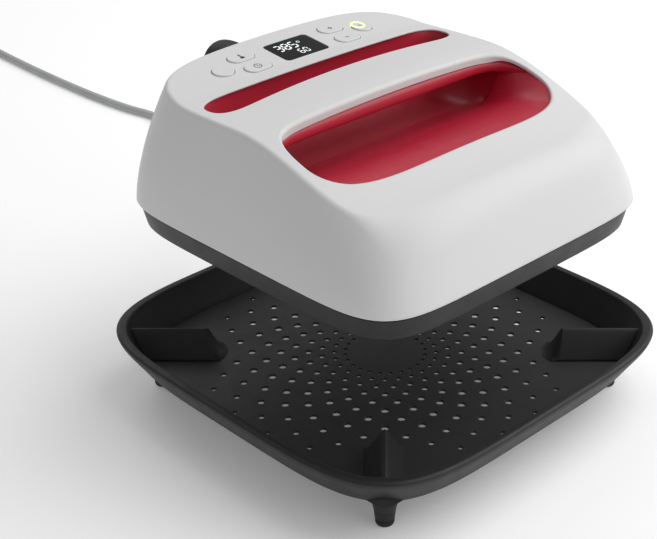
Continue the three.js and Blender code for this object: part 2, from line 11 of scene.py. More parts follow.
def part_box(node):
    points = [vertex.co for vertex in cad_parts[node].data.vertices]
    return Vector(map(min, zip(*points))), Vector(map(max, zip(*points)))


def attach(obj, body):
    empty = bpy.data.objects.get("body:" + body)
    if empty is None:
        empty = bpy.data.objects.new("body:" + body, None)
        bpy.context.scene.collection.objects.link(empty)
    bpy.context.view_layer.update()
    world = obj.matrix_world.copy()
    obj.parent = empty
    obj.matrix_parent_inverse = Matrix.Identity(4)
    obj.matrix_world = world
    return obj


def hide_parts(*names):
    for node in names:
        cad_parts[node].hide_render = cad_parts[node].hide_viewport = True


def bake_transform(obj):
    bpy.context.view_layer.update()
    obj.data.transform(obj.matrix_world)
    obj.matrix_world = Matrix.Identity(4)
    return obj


bl_info = {
    "name": "Heat press builder",
    "version": (1, 0, 0),
    "blender": (4, 5, 0),
    "location": "3D View > Sidebar > Heat press",
    "description": "Builds a hand-held heat press, its docking base and its cord",
    "category": "Add Mesh",
}

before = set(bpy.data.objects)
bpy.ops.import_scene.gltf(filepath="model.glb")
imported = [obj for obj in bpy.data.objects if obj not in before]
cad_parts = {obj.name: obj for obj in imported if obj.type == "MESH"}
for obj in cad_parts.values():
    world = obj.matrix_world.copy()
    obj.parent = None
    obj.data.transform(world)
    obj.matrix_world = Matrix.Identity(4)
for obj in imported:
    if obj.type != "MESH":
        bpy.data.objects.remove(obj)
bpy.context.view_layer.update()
CORNERS = {"front_left": (-1, -1), "front_right": (1, -1), "back_left": (-1, 1), "back_right": (1, 1)}


def low(node):
    """Lowest corner of a CAD node."""
    return Vector(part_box(node)[0])


def high(node):
    """Highest corner of a CAD node."""
    return Vector(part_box(node)[1])


def middle(node):
    """Centre of a CAD node."""
    return (low(node) + high(node)) / 2


# ---- Sizes in metres, from the frame where it has them ----

SHELL_HALF = high("top_shell").x + 0.0001
SHELL_RIM = high("skirt").z + 0.0013
SHELL_POWER, CREASE_POWER, SHELL_LEAN = 6.85, 5.0, 0.12
CROWN, FRONT_DROP, FRONT_RUN, CROWN_AT = 0.237, 0.033, 0.140, 0.012
PANEL_START, PANEL_SLOPE = 0.072, 0.109
SIDE_DROP, SIDE_DROP_AT, PANEL_DIP = 0.004, 0.105, 0.001
OPENING = {"half": 0.1086, "front": -0.0735, "rear": -0.0055}
SLOT = {"half": 0.1088, "front": 0.0385, "rear": 0.0598}
OPENING_FRONT_POWERS, OPENING_REAR_POWERS, SLOT_POWERS = (4.6, 2.3), (13.0, 2.4), (14.0, 2.3)
SLOT_SWELL, SLOT_SWELL_AT = 0.28, 0.085
TUNNEL_FLOOR = low("grip_liner").z + 0.0025
HANDLE_UNDER = 0.218
TRAY_HALF, TRAY_TOP, TRAY_BOTTOM = high("base_tray").x, high("base_tray").z, low("base_tray").z
TRAY_POWER = 4.84
FLOOR_TOP, FLOOR_BOTTOM, FLOOR_HALF = high("vent_floor").z, low("vent_floor").z, high("vent_floor").x
FOOT_REACH = middle("foot_front_right").x
CORD_RADIUS = (high("cord_run").z - low("cord_run").z) / 2
BOOT_AT = Vector((middle("cord_gland").x, 0.106, middle("cord_gland").z))
BOOT_BEND = np.array([BOOT_AT.x, 0.133, 0.215])
BOOT_LEAD = np.array([0.12, 0.52, -0.84]) / math.hypot(0.12, 0.52, 0.84)
BOOT_RELIEF = 0.036
COIL_AT = middle("cord_coil")
PLUG_AT = middle("plug_blade_left") * 0.5 + middle("plug_blade_right") * 0.5


# ---- Numpy surfaces ----

def smooth_step(value, start, end):
    """0 before start, 1 after end, with 3t^2 - 2t^3 between them."""
    t = np.clip((value - start) / (end - start), 0, 1)
    return t * t * (3 - 2 * t)


def even_loop(x, y, count):
    """Spaces count points evenly by length along the closed dense line x, y."""
    travel = np.concatenate([[0], np.cumsum(np.hypot(np.diff(x), np.diff(y)))])
    at = np.linspace(0, travel[-1], count, endpoint=False)
    return np.column_stack([np.interp(at, travel, x), np.interp(at, travel, y)])


def bowed_box(half_x, half_y, power_x, power_y, count):
    """The loop |x / half_x|^power_x + |y / half_y|^power_y = 1, anticlockwise from +X."""
    angle = np.linspace(0, 2 * np.pi, 20001)
    bend = lambda value, power: np.sign(value) * np.abs(value) ** (2 / power)
    return even_loop(half_x * bend(np.cos(angle), power_x), half_y * bend(np.sin(angle), power_y), count)


def bowed_square(half, power, count):
    """A square loop with bowed sides and round corners."""
    return bowed_box(half, half, power, power, count)


def round_box(half_x, half_y, radius, count):
    """A rectangle loop with circular corners: a circle whose quarters are moved apart."""
    angle = np.linspace(0, 2 * np.pi, 2001)
    side = lambda value: np.where(np.abs(value) < 1e-9, 0, np.sign(value))
    x = radius * np.cos(angle) + side(np.cos(angle)) * (half_x - radius)
    y = radius * np.sin(angle) + side(np.sin(angle)) * (half_y - radius)
    return even_loop(x, y, count)


def outward(loop):
    """Unit normals of an anticlockwise loop, pointing out of it."""
    along = np.roll(loop, -1, axis=0) - np.roll(loop, 1, axis=0)
    along /= np.linalg.norm(along, axis=1, keepdims=True)
    return np.column_stack([along[:, 1], -along[:, 0]])


def at_height(loop, height):
    """Puts a flat loop at one height, or at a height for each point."""
    return np.column_stack([loop, np.broadcast_to(height, len(loop))])


def bezier_rows(first, corner, last, count):
    """Rows of a quadratic curve from each first point to its last, pulled towards its corner."""
    t = np.linspace(0, 1, count)[:, None, None]
    return (1 - t) ** 2 * first + 2 * t * (1 - t) * corner + t ** 2 * last


def grid_normals(points, closed):
    """Cross product of the two grid directions, one unit normal a point."""
    if closed:
        along = np.roll(points, -1, axis=1) - np.roll(points, 1, axis=1)
    else:
        along = np.gradient(points, axis=1)
    across = np.gradient(points, axis=0)
    normals = np.cross(along, across)
    length = np.linalg.norm(normals, axis=2, keepdims=True)
    return normals / np.where(length < 1e-12, 1, length)


class Patchwork:
    """Patches of points and faces with their own normals, made into one mesh object."""

    def __init__(self):
        self.points, self.normals, self.faces, self.total = [], [], [], 0

    def add(self, points, normals, faces):
        """Adds points with normals, and an array of faces that count from this patch's first point."""
        self.points.append(points.reshape(-1, 3))
        self.normals.append(normals.reshape(-1, 3))
        self.faces.extend((faces + self.total).tolist())
        self.total += len(self.points[-1])

    def grid(self, points, closed=True, flip=False):
        """A grid of rows and columns, closed round its columns if asked. Rows go up or inwards."""
        points = np.asarray(points, float)
        rows, columns = points.shape[:2]
        index = np.arange(rows * columns).reshape(rows, columns)
        if closed:
            index = np.concatenate([index, index[:, :1]], axis=1)
        corners = [index[:-1, :-1], index[:-1, 1:], index[1:, 1:], index[1:, :-1]]
        quads = np.stack(corners, axis=-1).reshape(-1, 4)
        normals = grid_normals(points, closed)
        if flip:
            quads, normals = quads[:, ::-1], -normals
        self.add(points, normals, quads)

    def cap(self, ring, facing):
        """Closes a ring with a fan to its middle, whose faces and normals point the given way."""
        ring = np.asarray(ring, float)
        count = len(ring)
        index = np.arange(count)
        faces = np.stack([index, np.roll(index, -1), np.full(count, count)], axis=-1)
        centre = ring.mean(axis=0)
        spokes = ring - centre
        if np.cross(spokes, np.roll(spokes, -1, axis=0)).sum(axis=0) @ facing < 0:
            faces = faces[:, ::-1]
        self.add(np.vstack([ring, centre]), np.tile(np.array(facing, float), (count + 1, 1)), faces)

    def make(self, name, material, slot):
        """Makes the object, smooth, with the stored normals."""
        mesh = bpy.data.meshes.new(name)
        mesh.from_pydata(np.concatenate(self.points).tolist(), [], self.faces)
        mesh.materials.append(material)
        mesh.polygons.foreach_set("use_smooth", np.ones(len(mesh.polygons), bool))
        mesh.normals_split_custom_set_from_vertices(np.concatenate(self.normals).tolist())
        mesh.update()
        piece = bpy.data.objects.new(name, mesh)
        bpy.context.scene.collection.objects.link(piece)
        return piece


def inside(loop, points):
    """Which points lie inside the loop, by counting the edges crossed to the right of each."""
    a, b = loop, np.roll(loop, -1, axis=0)
    x, y = points[:, :1], points[:, 1:]
    spans = (a[:, 1] > y) != (b[:, 1] > y)
    rise = np.where(b[:, 1] == a[:, 1], 1e-12, b[:, 1] - a[:, 1])
    crosses = x < a[:, 0] + (y - a[:, 1]) * (b[:, 0] - a[:, 0]) / rise
    return (spans & crosses).sum(axis=1) % 2 == 1


def fill_between(outer, holes, spacing):
    """Triangles inside the outer loop and outside the holes, with a lattice of points between the loops."""
    loops = [outer, *holes]
    border = np.concatenate(loops)
    edges, start = [], 0
    for loop in loops:
        index = np.arange(len(loop)) + start
        edges.append(np.column_stack([index, np.roll(index, -1)]))
        start += len(loop)
    reach = np.abs(outer).max()
    ticks = np.arange(-reach, reach, spacing)
    lattice = np.stack(np.meshgrid(ticks, ticks * 0.98), axis=-1).reshape(-1, 2)
    lattice = lattice[inside(outer, lattice)]
    for hole in holes:
        near = np.abs(lattice - hole.mean(axis=0)).max(axis=1) < np.ptp(hole, axis=0).max()
        near[near] = inside(hole, lattice[near])
        lattice = lattice[~near]
    clear = np.ones(len(lattice), bool)
    for part in np.array_split(border, 12):
        gap = np.linalg.norm(lattice[:, None] - part[None], axis=2).min(axis=1)
        clear &= gap > spacing * 0.45
    points = np.concatenate([border, lattice[clear]])
    result = delaunay_2d_cdt([Vector(p) for p in points], np.concatenate(edges).tolist(), [], 0, 1e-9)
    made = np.array([v[:] for v in result[0]])
    triangles = np.array(result[2])
    centres = made[triangles].mean(axis=1)
    keep = inside(outer, centres)
    for hole in holes:
        near = np.abs(centres - hole.mean(axis=0)).max(axis=1) < np.ptp(hole, axis=0).max()
        near &= keep
        near[near] = inside(hole, centres[near])
        keep &= ~near
    triangles = triangles[keep]
    a, b, c = (made[triangles[:, k]] for k in range(3))
    area = (b[:, 0] - a[:, 0]) * (c[:, 1] - a[:, 1]) - (b[:, 1] - a[:, 1]) * (c[:, 0] - a[:, 0])
    triangles[area < 0] = triangles[area < 0][:, ::-1]
    return made, triangles


def turned(profile, count=40):
    """Carries a (radius, height) profile round +Z. Rows follow the profile: bottom, out, up and in."""
    profile = np.asarray(profile, float)
    angle = np.arange(count) * 2 * np.pi / count
    ring = np.column_stack([np.cos(angle), np.sin(angle)])
    return np.concatenate([
        profile[:, None, :1] * ring[None],
        np.broadcast_to(profile[:, None, 1:], (len(profile), count, 1)),
    ], axis=2)


def round_corners(profile, radius, steps=5):
    """Rounds the inner corners of an open (a, b) profile with short quadratic curves."""
    profile = np.asarray(profile, float)
    made = [profile[:1]]
    for before, corner, after in zip(profile[:-2], profile[1:-1], profile[2:]):
        into, away = before - corner, after - corner
        cut = min(radius, np.linalg.norm(into) * 0.48, np.linalg.norm(away) * 0.48)
        start = corner + into / np.linalg.norm(into) * cut
        end = corner + away / np.linalg.norm(away) * cut
        t = np.linspace(0, 1, steps)[:, None]
        made.append((1 - t) ** 2 * start + 2 * t * (1 - t) * corner + t ** 2 * end)
    made.append(profile[-1:])
    return np.concatenate(made)


# ---- The casing's form ----

def top_height(points):
    """Height of the casing's top at (x, y): a crown over the handle, a slope to the front, a tilted panel."""
    x, y = points[..., 0], points[..., 1]
    front = FRONT_DROP * smooth_step(CROWN_AT - y, 0, FRONT_RUN)
    dip = PANEL_DIP * smooth_step(y, CROWN_AT, PANEL_START)
    panel = PANEL_SLOPE * np.maximum(0, y - PANEL_START)
    return CROWN - front - dip + panel - SIDE_DROP * (x / SIDE_DROP_AT) ** 2


def top_normals(points):
    """Unit normals of the top surface from its slopes along x and y."""
    step = 0.0005
    slope_x = (top_height(points + [step, 0]) - top_height(points - [step, 0])) / (2 * step)
    slope_y = (top_height(points + [0, step]) - top_height(points - [0, step])) / (2 * step)
    normals = np.column_stack([-slope_x, -slope_y, np.ones(len(points))])
    return normals / np.linalg.norm(normals, axis=1, keepdims=True)


def casing_outline(share, count):
    """The casing's loop at a share of its height: it leans in and grows rounder."""
    lean = share ** 1.5
    power = SHELL_POWER + (CREASE_POWER - SHELL_POWER) * lean
    return bowed_square(SHELL_HALF * (1 - SHELL_LEAN * lean), power, count)


def mixed_loop(half_x, half_y, front_powers, rear_powers, count):
    """A bowed box whose front half (y < 0) and rear half have their own powers."""
    front = bowed_box(half_x, half_y, *front_powers, 4 * count)
    rear = bowed_box(half_x, half_y, *rear_powers, 4 * count)
    both = np.concatenate([rear[rear[:, 1] >= 0], front[front[:, 1] < 0]])
    both = np.vstack([both, both[:1]])
    return even_loop(both[:, 0], both[:, 1], count)


def opening_loop(count):
    """Front hand opening: an almost straight rear edge with tight corners, and a long curved front edge."""
    middle_y, reach = (OPENING["rear"] + OPENING["front"]) / 2, (OPENING["rear"] - OPENING["front"]) / 2
    loop = mixed_loop(OPENING["half"], reach, OPENING_FRONT_POWERS, OPENING_REAR_POWERS, count)
    return loop + [0, middle_y]


def slot_waist(x):
    """How much wider the rear slot is at x than in its middle."""
    return 1 + SLOT_SWELL * np.clip(np.abs(x) / SLOT_SWELL_AT, 0, 1.1) ** 2


def slot_loop(count):
    """Rear slot: round ends, and wider towards them than in the middle."""
    middle_y, reach = (SLOT["rear"] + SLOT["front"]) / 2, (SLOT["rear"] - SLOT["front"]) / 2
    loop = bowed_box(SLOT["half"], reach, *SLOT_POWERS, count)
    return np.column_stack([loop[:, 0], loop[:, 1] * slot_waist(loop[:, 0]) + middle_y])


def lip_rows(loop, radius, wall, steps=7):
    """A rolled edge round a hole in the top: a quarter circle into the hole, then a short wall."""
    turn = np.linspace(0, np.pi / 2, steps)[:, None]
    radius = np.broadcast_to(radius, len(loop))[None]
    offset = radius * (1 - np.sin(turn))
    place = loop[None] + outward(loop)[None] * offset[..., None]
    height = top_height(place) - radius * (1 - np.cos(turn))
    rows = np.concatenate([place, height[..., None]], axis=2)
    last = rows[-1:].copy()
    last[..., 2] -= wall
    return np.concatenate([rows, last])


# ---- Materials ----

class Wire:
    """A node's output used as a number in Python expressions."""

    def __init__(self, finish, socket):
        self.finish, self.socket = finish, socket

    def maths(self, operation, first, second):
        return self.finish.node("ShaderNodeMath", {"operation": operation}, [first, second])

    def __radd__(self, other):
        return self.maths("ADD", other, self)

    def __mul__(self, other):
        return self.maths("MULTIPLY", self, other)

    def __gt__(self, other):
        return self.maths("GREATER_THAN", self, other)


class Finish:
    """A material with one Principled shader, wired through short calls."""

    def __init__(self, name, colour, roughness, metallic=0.0, coat=0.0, specular=0.5):
        self.material = bpy.data.materials.new(name)
        self.material.use_nodes = True
        self.material.diffuse_color = (*colour, 1)
        self.tree = self.material.node_tree
        self.shader = self.tree.nodes["Principled BSDF"]
        self.set("Base Color", (*colour, 1))
        self.set("Roughness", roughness)
        self.set("Metallic", metallic)
        self.set("Coat Weight", coat)
        self.set("Coat Roughness", 0.08)
        self.set("Specular IOR Level", specular)
        self.place = Wire(self, self.tree.nodes.new("ShaderNodeTexCoord").outputs["Object"])

    def set(self, socket, value):
        """Gives a shader input a value or a wire."""
        self.join(self.shader.inputs[socket], value)

    def join(self, socket, value):
        if isinstance(value, Wire):
            self.tree.links.new(value.socket, socket)
        else:
            socket.default_value = value

    def node(self, kind, settings=None, values=(), output=0):
        """Any node: its settings first, then the values or wires of its inputs in order or by name."""
        made = self.tree.nodes.new(kind)
        for key, value in (settings or {}).items():
            setattr(made, key, value)
        pairs = values.items() if isinstance(values, dict) else enumerate(values)
        for key, value in pairs:
            self.join(made.inputs[key], value)
        return Wire(self, made.outputs[output])

    def noise(self, scale, detail=2.0, roughness=0.5, place=None):
        """Noise from 0 to 1 at a scale of features in a metre."""
        return self.node("ShaderNodeTexNoise", None, {
            "Vector": place or self.place, "Scale": scale, "Detail": detail, "Roughness": roughness,
        })

    def blend(self, mask, first, second):
        """Mixes two colours by a mask."""
        inputs = {0: mask, 6: (*first, 1), 7: (*second, 1)}
        return self.node("ShaderNodeMix", {"data_type": "RGBA"}, inputs, 2)

    def bump(self, height, strength, distance=0.0002):
        """Feeds a bump to the shader's normal."""
        self.set("Normal", self.node("ShaderNodeBump", None, {
            "Strength": strength, "Distance": distance, "Height": height,
        }))


def tint(colour, factor):
    """A colour made lighter or darker by a factor."""
    return tuple(min(1.0, channel * factor) for channel in colour)


def moulded_white(name, colour):
    """Smooth moulded plastic: faint clouding, faint dust in its sheen and a very slight waviness."""
    made = Finish(name, colour, 0.4, specular=0.32)
    cloud = made.noise(14, 3)
    made.set("Base Color", made.blend(cloud, colour, tint(colour, 0.965)))
    made.set("Roughness", 0.36 + made.noise(55, 4) * 0.12)
    made.bump(made.noise(260, 2), 0.05)
    return made.material


def satin_red(name, colour):
    """Satin moulded red: deeper and paler patches, fine moulding grain."""
    made = Finish(name, colour, 0.4, coat=0.1)
    made.set("Base Color", made.blend(made.noise(22, 3), tint(colour, 1.12), tint(colour, 0.84)))
    made.set("Roughness", 0.33 + made.noise(120, 3) * 0.2)
    made.bump(made.noise(1800, 2), 0.16)
    return made.material


def grained_black(name, colour, grain=2200, roughness=0.42):
    """Black moulded plastic with spark-eroded grain and paler dust where the noise is high."""
    made = Finish(name, colour, roughness, specular=0.45)
    dust = made.noise(38, 5, 0.65)
    made.set("Base Color", made.blend(dust, tint(colour, 0.8), tint(colour, 1.35)))
    made.set("Roughness", roughness - 0.08 + made.noise(90, 4) * 0.22)
    made.bump(made.noise(grain, 3, 0.7), 0.35)
    return made.material


def dull_rubber(name, colour, roughness=0.62):
    """Rubber: matt, slightly mottled, with a fine skin."""
    made = Finish(name, colour, roughness, specular=0.35)
    made.set("Base Color", made.blend(made.noise(60, 4), tint(colour, 0.85), tint(colour, 1.25)))
    made.set("Roughness", roughness - 0.06 + made.noise(240, 3) * 0.16)
    made.bump(made.noise(1500, 2), 0.22)
    return made.material


def bright_steel(name, colour, roughness=0.3):
    """Steel with fine scratches along X and soft stains."""
    made = Finish(name, colour, roughness, metallic=1.0)
    lines = made.node("ShaderNodeMapping", None, {0: made.place, 3: (40, 900, 900)})
    scratch = made.noise(3, 4, 0.6, lines)
    made.set("Base Color", made.blend(made.noise(45, 3), colour, tint(colour, 0.8)))
    made.set("Roughness", roughness - 0.06 + scratch * 0.22)
    made.bump(scratch, 0.12, 0.0001)
    return made.material


def coated_plate(name, colour):
    """Non-stick coating on aluminium: dark, with tiny pale flecks and a slight orange peel."""
    made = Finish(name, colour, 0.45, metallic=0.35)
    fleck = made.node("ShaderNodeTexVoronoi", None, {"Vector": made.place, "Scale": 900}) > 0.62
    made.set("Base Color", made.blend(fleck * 0.5, colour, (0.35, 0.35, 0.36)))
    made.set("Roughness", 0.38 + made.noise(300, 3) * 0.18)
    made.bump(made.noise(700, 2), 0.18)
    return made.material


def dark_glass(name, colour):
    """Display cover: near black gloss with a faint smudge."""
    made = Finish(name, colour, 0.06, specular=0.2)
    smudge = made.noise(95, 4)
    made.set("Base Color", made.blend(smudge, colour, tint(colour, 1.8)))
    made.set("Roughness", 0.05 + smudge * 0.1)
    return made.material


def glowing(name, colour, strength):
    """A lit part whose light is a little uneven."""
    made = Finish(name, colour, 0.4)
    uneven = made.blend(made.noise(420, 2), colour, tint(colour, 0.8))
    made.set("Base Color", uneven)
    made.set("Emission Color", uneven)
    made.set("Emission Strength", strength)
    return made.material


def board_green(name, colour):
    """Circuit board: tracks from a brick pattern under a green mask."""
    made = Finish(name, colour, 0.4)
    tracks = made.node("ShaderNodeTexBrick", None, {
        "Vector": made.place, "Scale": 260, "Mortar Size": 0.02, "Color1": (0, 0, 0, 1),
        "Color2": (0, 0, 0, 1), "Mortar": (1, 1, 1, 1),
    })
    made.set("Base Color", made.blend(tracks * 0.6, colour, tint(colour, 2.0)))
    made.set("Roughness", 0.35 + made.noise(200, 2) * 0.2)
    return made.material


def pressed_fibre(name, colour):
    """Pressed fibre felt: tangled strands in colour and height."""
    made = Finish(name, colour, 0.95, specular=0.1)
    strands = made.noise(900, 6, 0.75)
    made.set("Base Color", made.blend(strands, tint(colour, 0.75), colour))
    made.bump(strands, 0.7, 0.0006)
    return made.material


def studio_white(name, colour):
    """Seamless table: almost even, with a trace of variation."""
    made = Finish(name, colour, 0.9, specular=0.0)
    pale = made.blend(made.noise(3, 2), colour, tint(colour, 0.99))
    made.set("Base Color", pale)
    made.set("Emission Color", pale)
    made.set("Emission Strength", 0.16)
    return made.material


# ---- Settings ----

class PressLook(bpy.types.PropertyGroup):
    """Colours and edge sizes of the press."""

    shell_colour: bpy.props.FloatVectorProperty(
        name="Shell colour", description="White of the casing and buttons",
        default=(0.68, 0.68, 0.68), size=3, subtype="COLOR", min=0, max=1)
    liner_colour: bpy.props.FloatVectorProperty(
        name="Liner colour", description="Red of the hand tunnel",
        default=(0.47, 0.011, 0.036), size=3, subtype="COLOR", min=0, max=1)
    trim_colour: bpy.props.FloatVectorProperty(
        name="Trim colour", description="Charcoal of the skirt and boot",
        default=(0.0065, 0.0067, 0.0072), size=3, subtype="COLOR", min=0, max=1)
    side_crease: bpy.props.FloatProperty(
        name="Side crease", description="Radius between the side walls and the top",
        default=0.0026, unit="LENGTH", min=0.001, max=0.02)
    front_crease: bpy.props.FloatProperty(
        name="Front crease", description="Radius between the front wall and the top",
        default=0.017, unit="LENGTH", min=0.001, max=0.03)
    handle_lip: bpy.props.FloatProperty(
        name="Handle lip", description="Radius of the rolled front edge of the handle",
        default=0.0025, unit="LENGTH", min=0.001, max=0.01)
    opening_lip: bpy.props.FloatProperty(
        name="Opening lip", description="Radius of the rolled edge round the rest of the opening",
        default=0.003, unit="LENGTH", min=0.0005, max=0.01)


class BaseLook(bpy.types.PropertyGroup):
    """Colours and vent sizes of the docking base."""

    tray_colour: bpy.props.FloatVectorProperty(
        name="Tray colour", description="Charcoal of the tray, floor, rests and feet",
        default=(0.0068, 0.0069, 0.0075), size=3, subtype="COLOR", min=0, max=1)
    vent_rings: bpy.props.IntProperty(
        name="Vent rings", description="Rings of round holes in the floor", default=11, min=1, max=16)
    vents_a_ring: bpy.props.IntProperty(
        name="Vents a ring", description="Holes in each ring", default=24, min=6, max=48)
    inner_ring: bpy.props.FloatProperty(
        name="Inner ring", description="Radius of the innermost ring of holes",
        default=0.029, unit="LENGTH", min=0.01, max=0.1)
    outer_ring: bpy.props.FloatProperty(
        name="Outer ring", description="Radius of the outermost ring of holes",
        default=0.129, unit="LENGTH", min=0.05, max=0.2)


class CordLook(bpy.types.PropertyGroup):
    """Colour and length of the power cord."""

    jacket_colour: bpy.props.FloatVectorProperty(
        name="Jacket colour", description="Grey of the cord and plug",
        default=(0.37, 0.375, 0.38), size=3, subtype="COLOR", min=0, max=1)
    coil_turns: bpy.props.FloatProperty(
        name="Coil turns", description="Turns that the stored length is wound into",
        default=3.5, min=1, max=8)


class StageLook(bpy.types.PropertyGroup):
    """Camera and lights."""

    camera_distance: bpy.props.FloatProperty(
        name="Camera distance", description="From the camera to the middle of the press",
        default=1.022, unit="LENGTH", min=0.3, max=4)
    camera_elevation: bpy.props.FloatProperty(
        name="Camera elevation", description="Angle of the view above the table",
        default=math.radians(28.4), subtype="ANGLE", min=0, max=1.5)
    lens: bpy.props.FloatProperty(
        name="Lens", description="Focal length for a 36 mm sensor", default=79.45, min=20, max=200)
    key_power: bpy.props.FloatProperty(
        name="Key light", description="Power of the large light at the right",
        default=43, min=0, unit="POWER")
    sky_strength: bpy.props.FloatProperty(
        name="Surround", description="Strength of the even surrounding light", default=0.36, min=0, max=5)


# ---- Stage and cord ----

class HEATPRESS_OT_stage(bpy.types.Operator):
    """Make the table, the camera and the lights"""

    bl_idname = "heatpress.stage"
    bl_label = "Stage"

    def execute(self, context):
        look = context.scene.stage_look
        aim = Vector((0, 0, 0.095))
        rise = look.camera_elevation
        back = Vector((-math.sqrt(0.5) * math.cos(rise), -math.sqrt(0.5) * math.cos(rise), math.sin(rise)))
        camera = bpy.data.objects.new("camera", bpy.data.cameras.new("camera"))
        camera.data.lens = look.lens
        camera.data.sensor_width = 36
        camera.data.shift_x = -0.0857
        camera.data.clip_start, camera.data.clip_end = 0.05, 50
        camera.location = aim + back * look.camera_distance
        camera.rotation_euler = (-back).to_track_quat("-Z", "Y").to_euler()
        context.scene.collection.objects.link(camera)
        context.scene.camera = camera

        table = Patchwork()
        ticks = np.linspace(-7, 7, 3)
        sheet = np.stack(np.meshgrid(ticks, ticks), axis=-1)
        table.grid(np.concatenate([sheet, np.full((3, 3, 1), -0.0002)], axis=2), closed=False)
        mesh_object = table.make("table_top", studio_white("table_white", (0.93, 0.93, 0.93)), "white_shell")

        self.light("key", (1.25, -0.75, 1.75), 2.4, look.key_power, aim)
        self.light("front_fill", (0.2, -1.8, 1.0), 1.2, look.key_power * 0.1, aim)
        self.light("back_rim", (0.4, 1.8, 1.7), 1.6, look.key_power * 0.22, aim)

        world = bpy.data.worlds.new("surround")
        world.use_nodes = True
        world.node_tree.nodes["Background"].inputs["Color"].default_value = (1, 1, 1, 1)
        world.node_tree.nodes["Background"].inputs["Strength"].default_value = look.sky_strength
        context.scene.world = world
        context.scene.view_settings.view_transform = "Standard"
        return {"FINISHED"}

    @staticmethod
    def light(name, place, size, power, aim):
        lamp = bpy.data.lights.new(name, "AREA")
        lamp.size, lamp.energy = size, power
        holder = bpy.data.objects.new(name, lamp)
        holder.location = place
        holder.rotation_euler = (Vector(place) - aim).to_track_quat("Z", "Y").to_euler()
        bpy.context.scene.collection.objects.link(holder)


def smooth_route(points, step):
    """A cubic through the points whose slope at each is that of its two neighbours, sampled every step."""
    points = np.asarray(points, float)
    chord = np.linalg.norm(np.diff(points, axis=0), axis=1)
    at = np.concatenate([[0], np.cumsum(chord)])
    slope = np.gradient(points, at, axis=0)
    where = np.linspace(0, at[-1], int(at[-1] / step) + 1)
    span = np.clip(np.searchsorted(at, where, side="right") - 1, 0, len(chord) - 1)
    length = chord[span][:, None]
    t = ((where - at[span]) / chord[span])[:, None]
    a, b = points[span], points[span + 1]
    m, n = slope[span] * length, slope[span + 1] * length
    return ((2 * t**3 - 3 * t**2 + 1) * a + (t**3 - 2 * t**2 + t) * m
            + (-2 * t**3 + 3 * t**2) * b + (t**3 - t**2) * n)


def coil_route(turns):
    """The coil: outer and inner turn on the table, then inner and outer turn on top of them."""
    turn = np.linspace(0.03, turns, int(turns * 60))
    wide, tight = 0.045, 0.0368
    radius = wide + (tight - wide) * (smooth_step(turn, 0.8, 1.0) - smooth_step(turn, 2.75, 2.95))
    rest = CORD_RADIUS + 0.0001
    height = rest + 2.05 * CORD_RADIUS * smooth_step(turn, 1.7, 1.9)
    angle = 2 * np.pi * turn
    return np.column_stack([COIL_AT.x + radius * np.cos(angle), COIL_AT.y + radius * np.sin(angle), height])


def cord_route(turns):
    """Out of the boot, down to the table, along it behind the press, round the coil and into the plug."""
    rest = CORD_RADIUS + 0.0001
    way = np.array([
        BOOT_BEND + BOOT_LEAD * (BOOT_RELIEF - 0.004), BOOT_BEND + BOOT_LEAD * (BOOT_RELIEF + 0.004),
        BOOT_BEND + BOOT_LEAD * (BOOT_RELIEF + 0.014), [-0.007, 0.178, 0.148], [0.016, 0.210, 0.112],
        [0.051, 0.255, 0.073], [0.091, 0.306, 0.039], [0.128, 0.358, 0.017], [0.157, 0.413, 0.006],
        [0.177, 0.475, rest], [0.1868, 0.5288, rest], [0.181, 0.560, rest], [0.1762, 0.6084, rest],
        [0.1743, 0.6686, rest], [0.1746, 0.7341, rest], [0.177, 0.800, rest], [0.180, 0.847, rest],
        [0.180, 0.866, rest],
    ])
    coil = coil_route(turns)
    plug_back = low("plug_body").y + 0.0335
    tail = np.array([
        [COIL_AT.x - 0.045, COIL_AT.y - 0.012, 0.0112], [COIL_AT.x - 0.045, COIL_AT.y - 0.022, 0.0085],
        [PLUG_AT.x, plug_back + 0.006, 0.0066], [PLUG_AT.x, plug_back - 0.004, 0.0066],
    ])
    route = smooth_route(np.concatenate([way, coil[::4], tail]), 0.0025)
    route[:, 2] = np.maximum(route[:, 2], rest)
    return route


def tube_rows(route, radius, count=18):
    """A circle carried along a route that never stands upright. The circle's sides are level."""
    radius = np.broadcast_to(radius, len(route))[:, None, None]
    along = np.gradient(route, axis=0)
    along /= np.linalg.norm(along, axis=1, keepdims=True)
    side = np.cross(along, [0, 0, 1])
    side /= np.linalg.norm(side, axis=1, keepdims=True)
    up = np.cross(side, along)
    angle = np.arange(count) * 2 * np.pi / count
    round_it = side[:, None] * np.cos(angle)[:, None] + up[:, None] * np.sin(angle)[:, None]
    return route[:, None] + radius * round_it


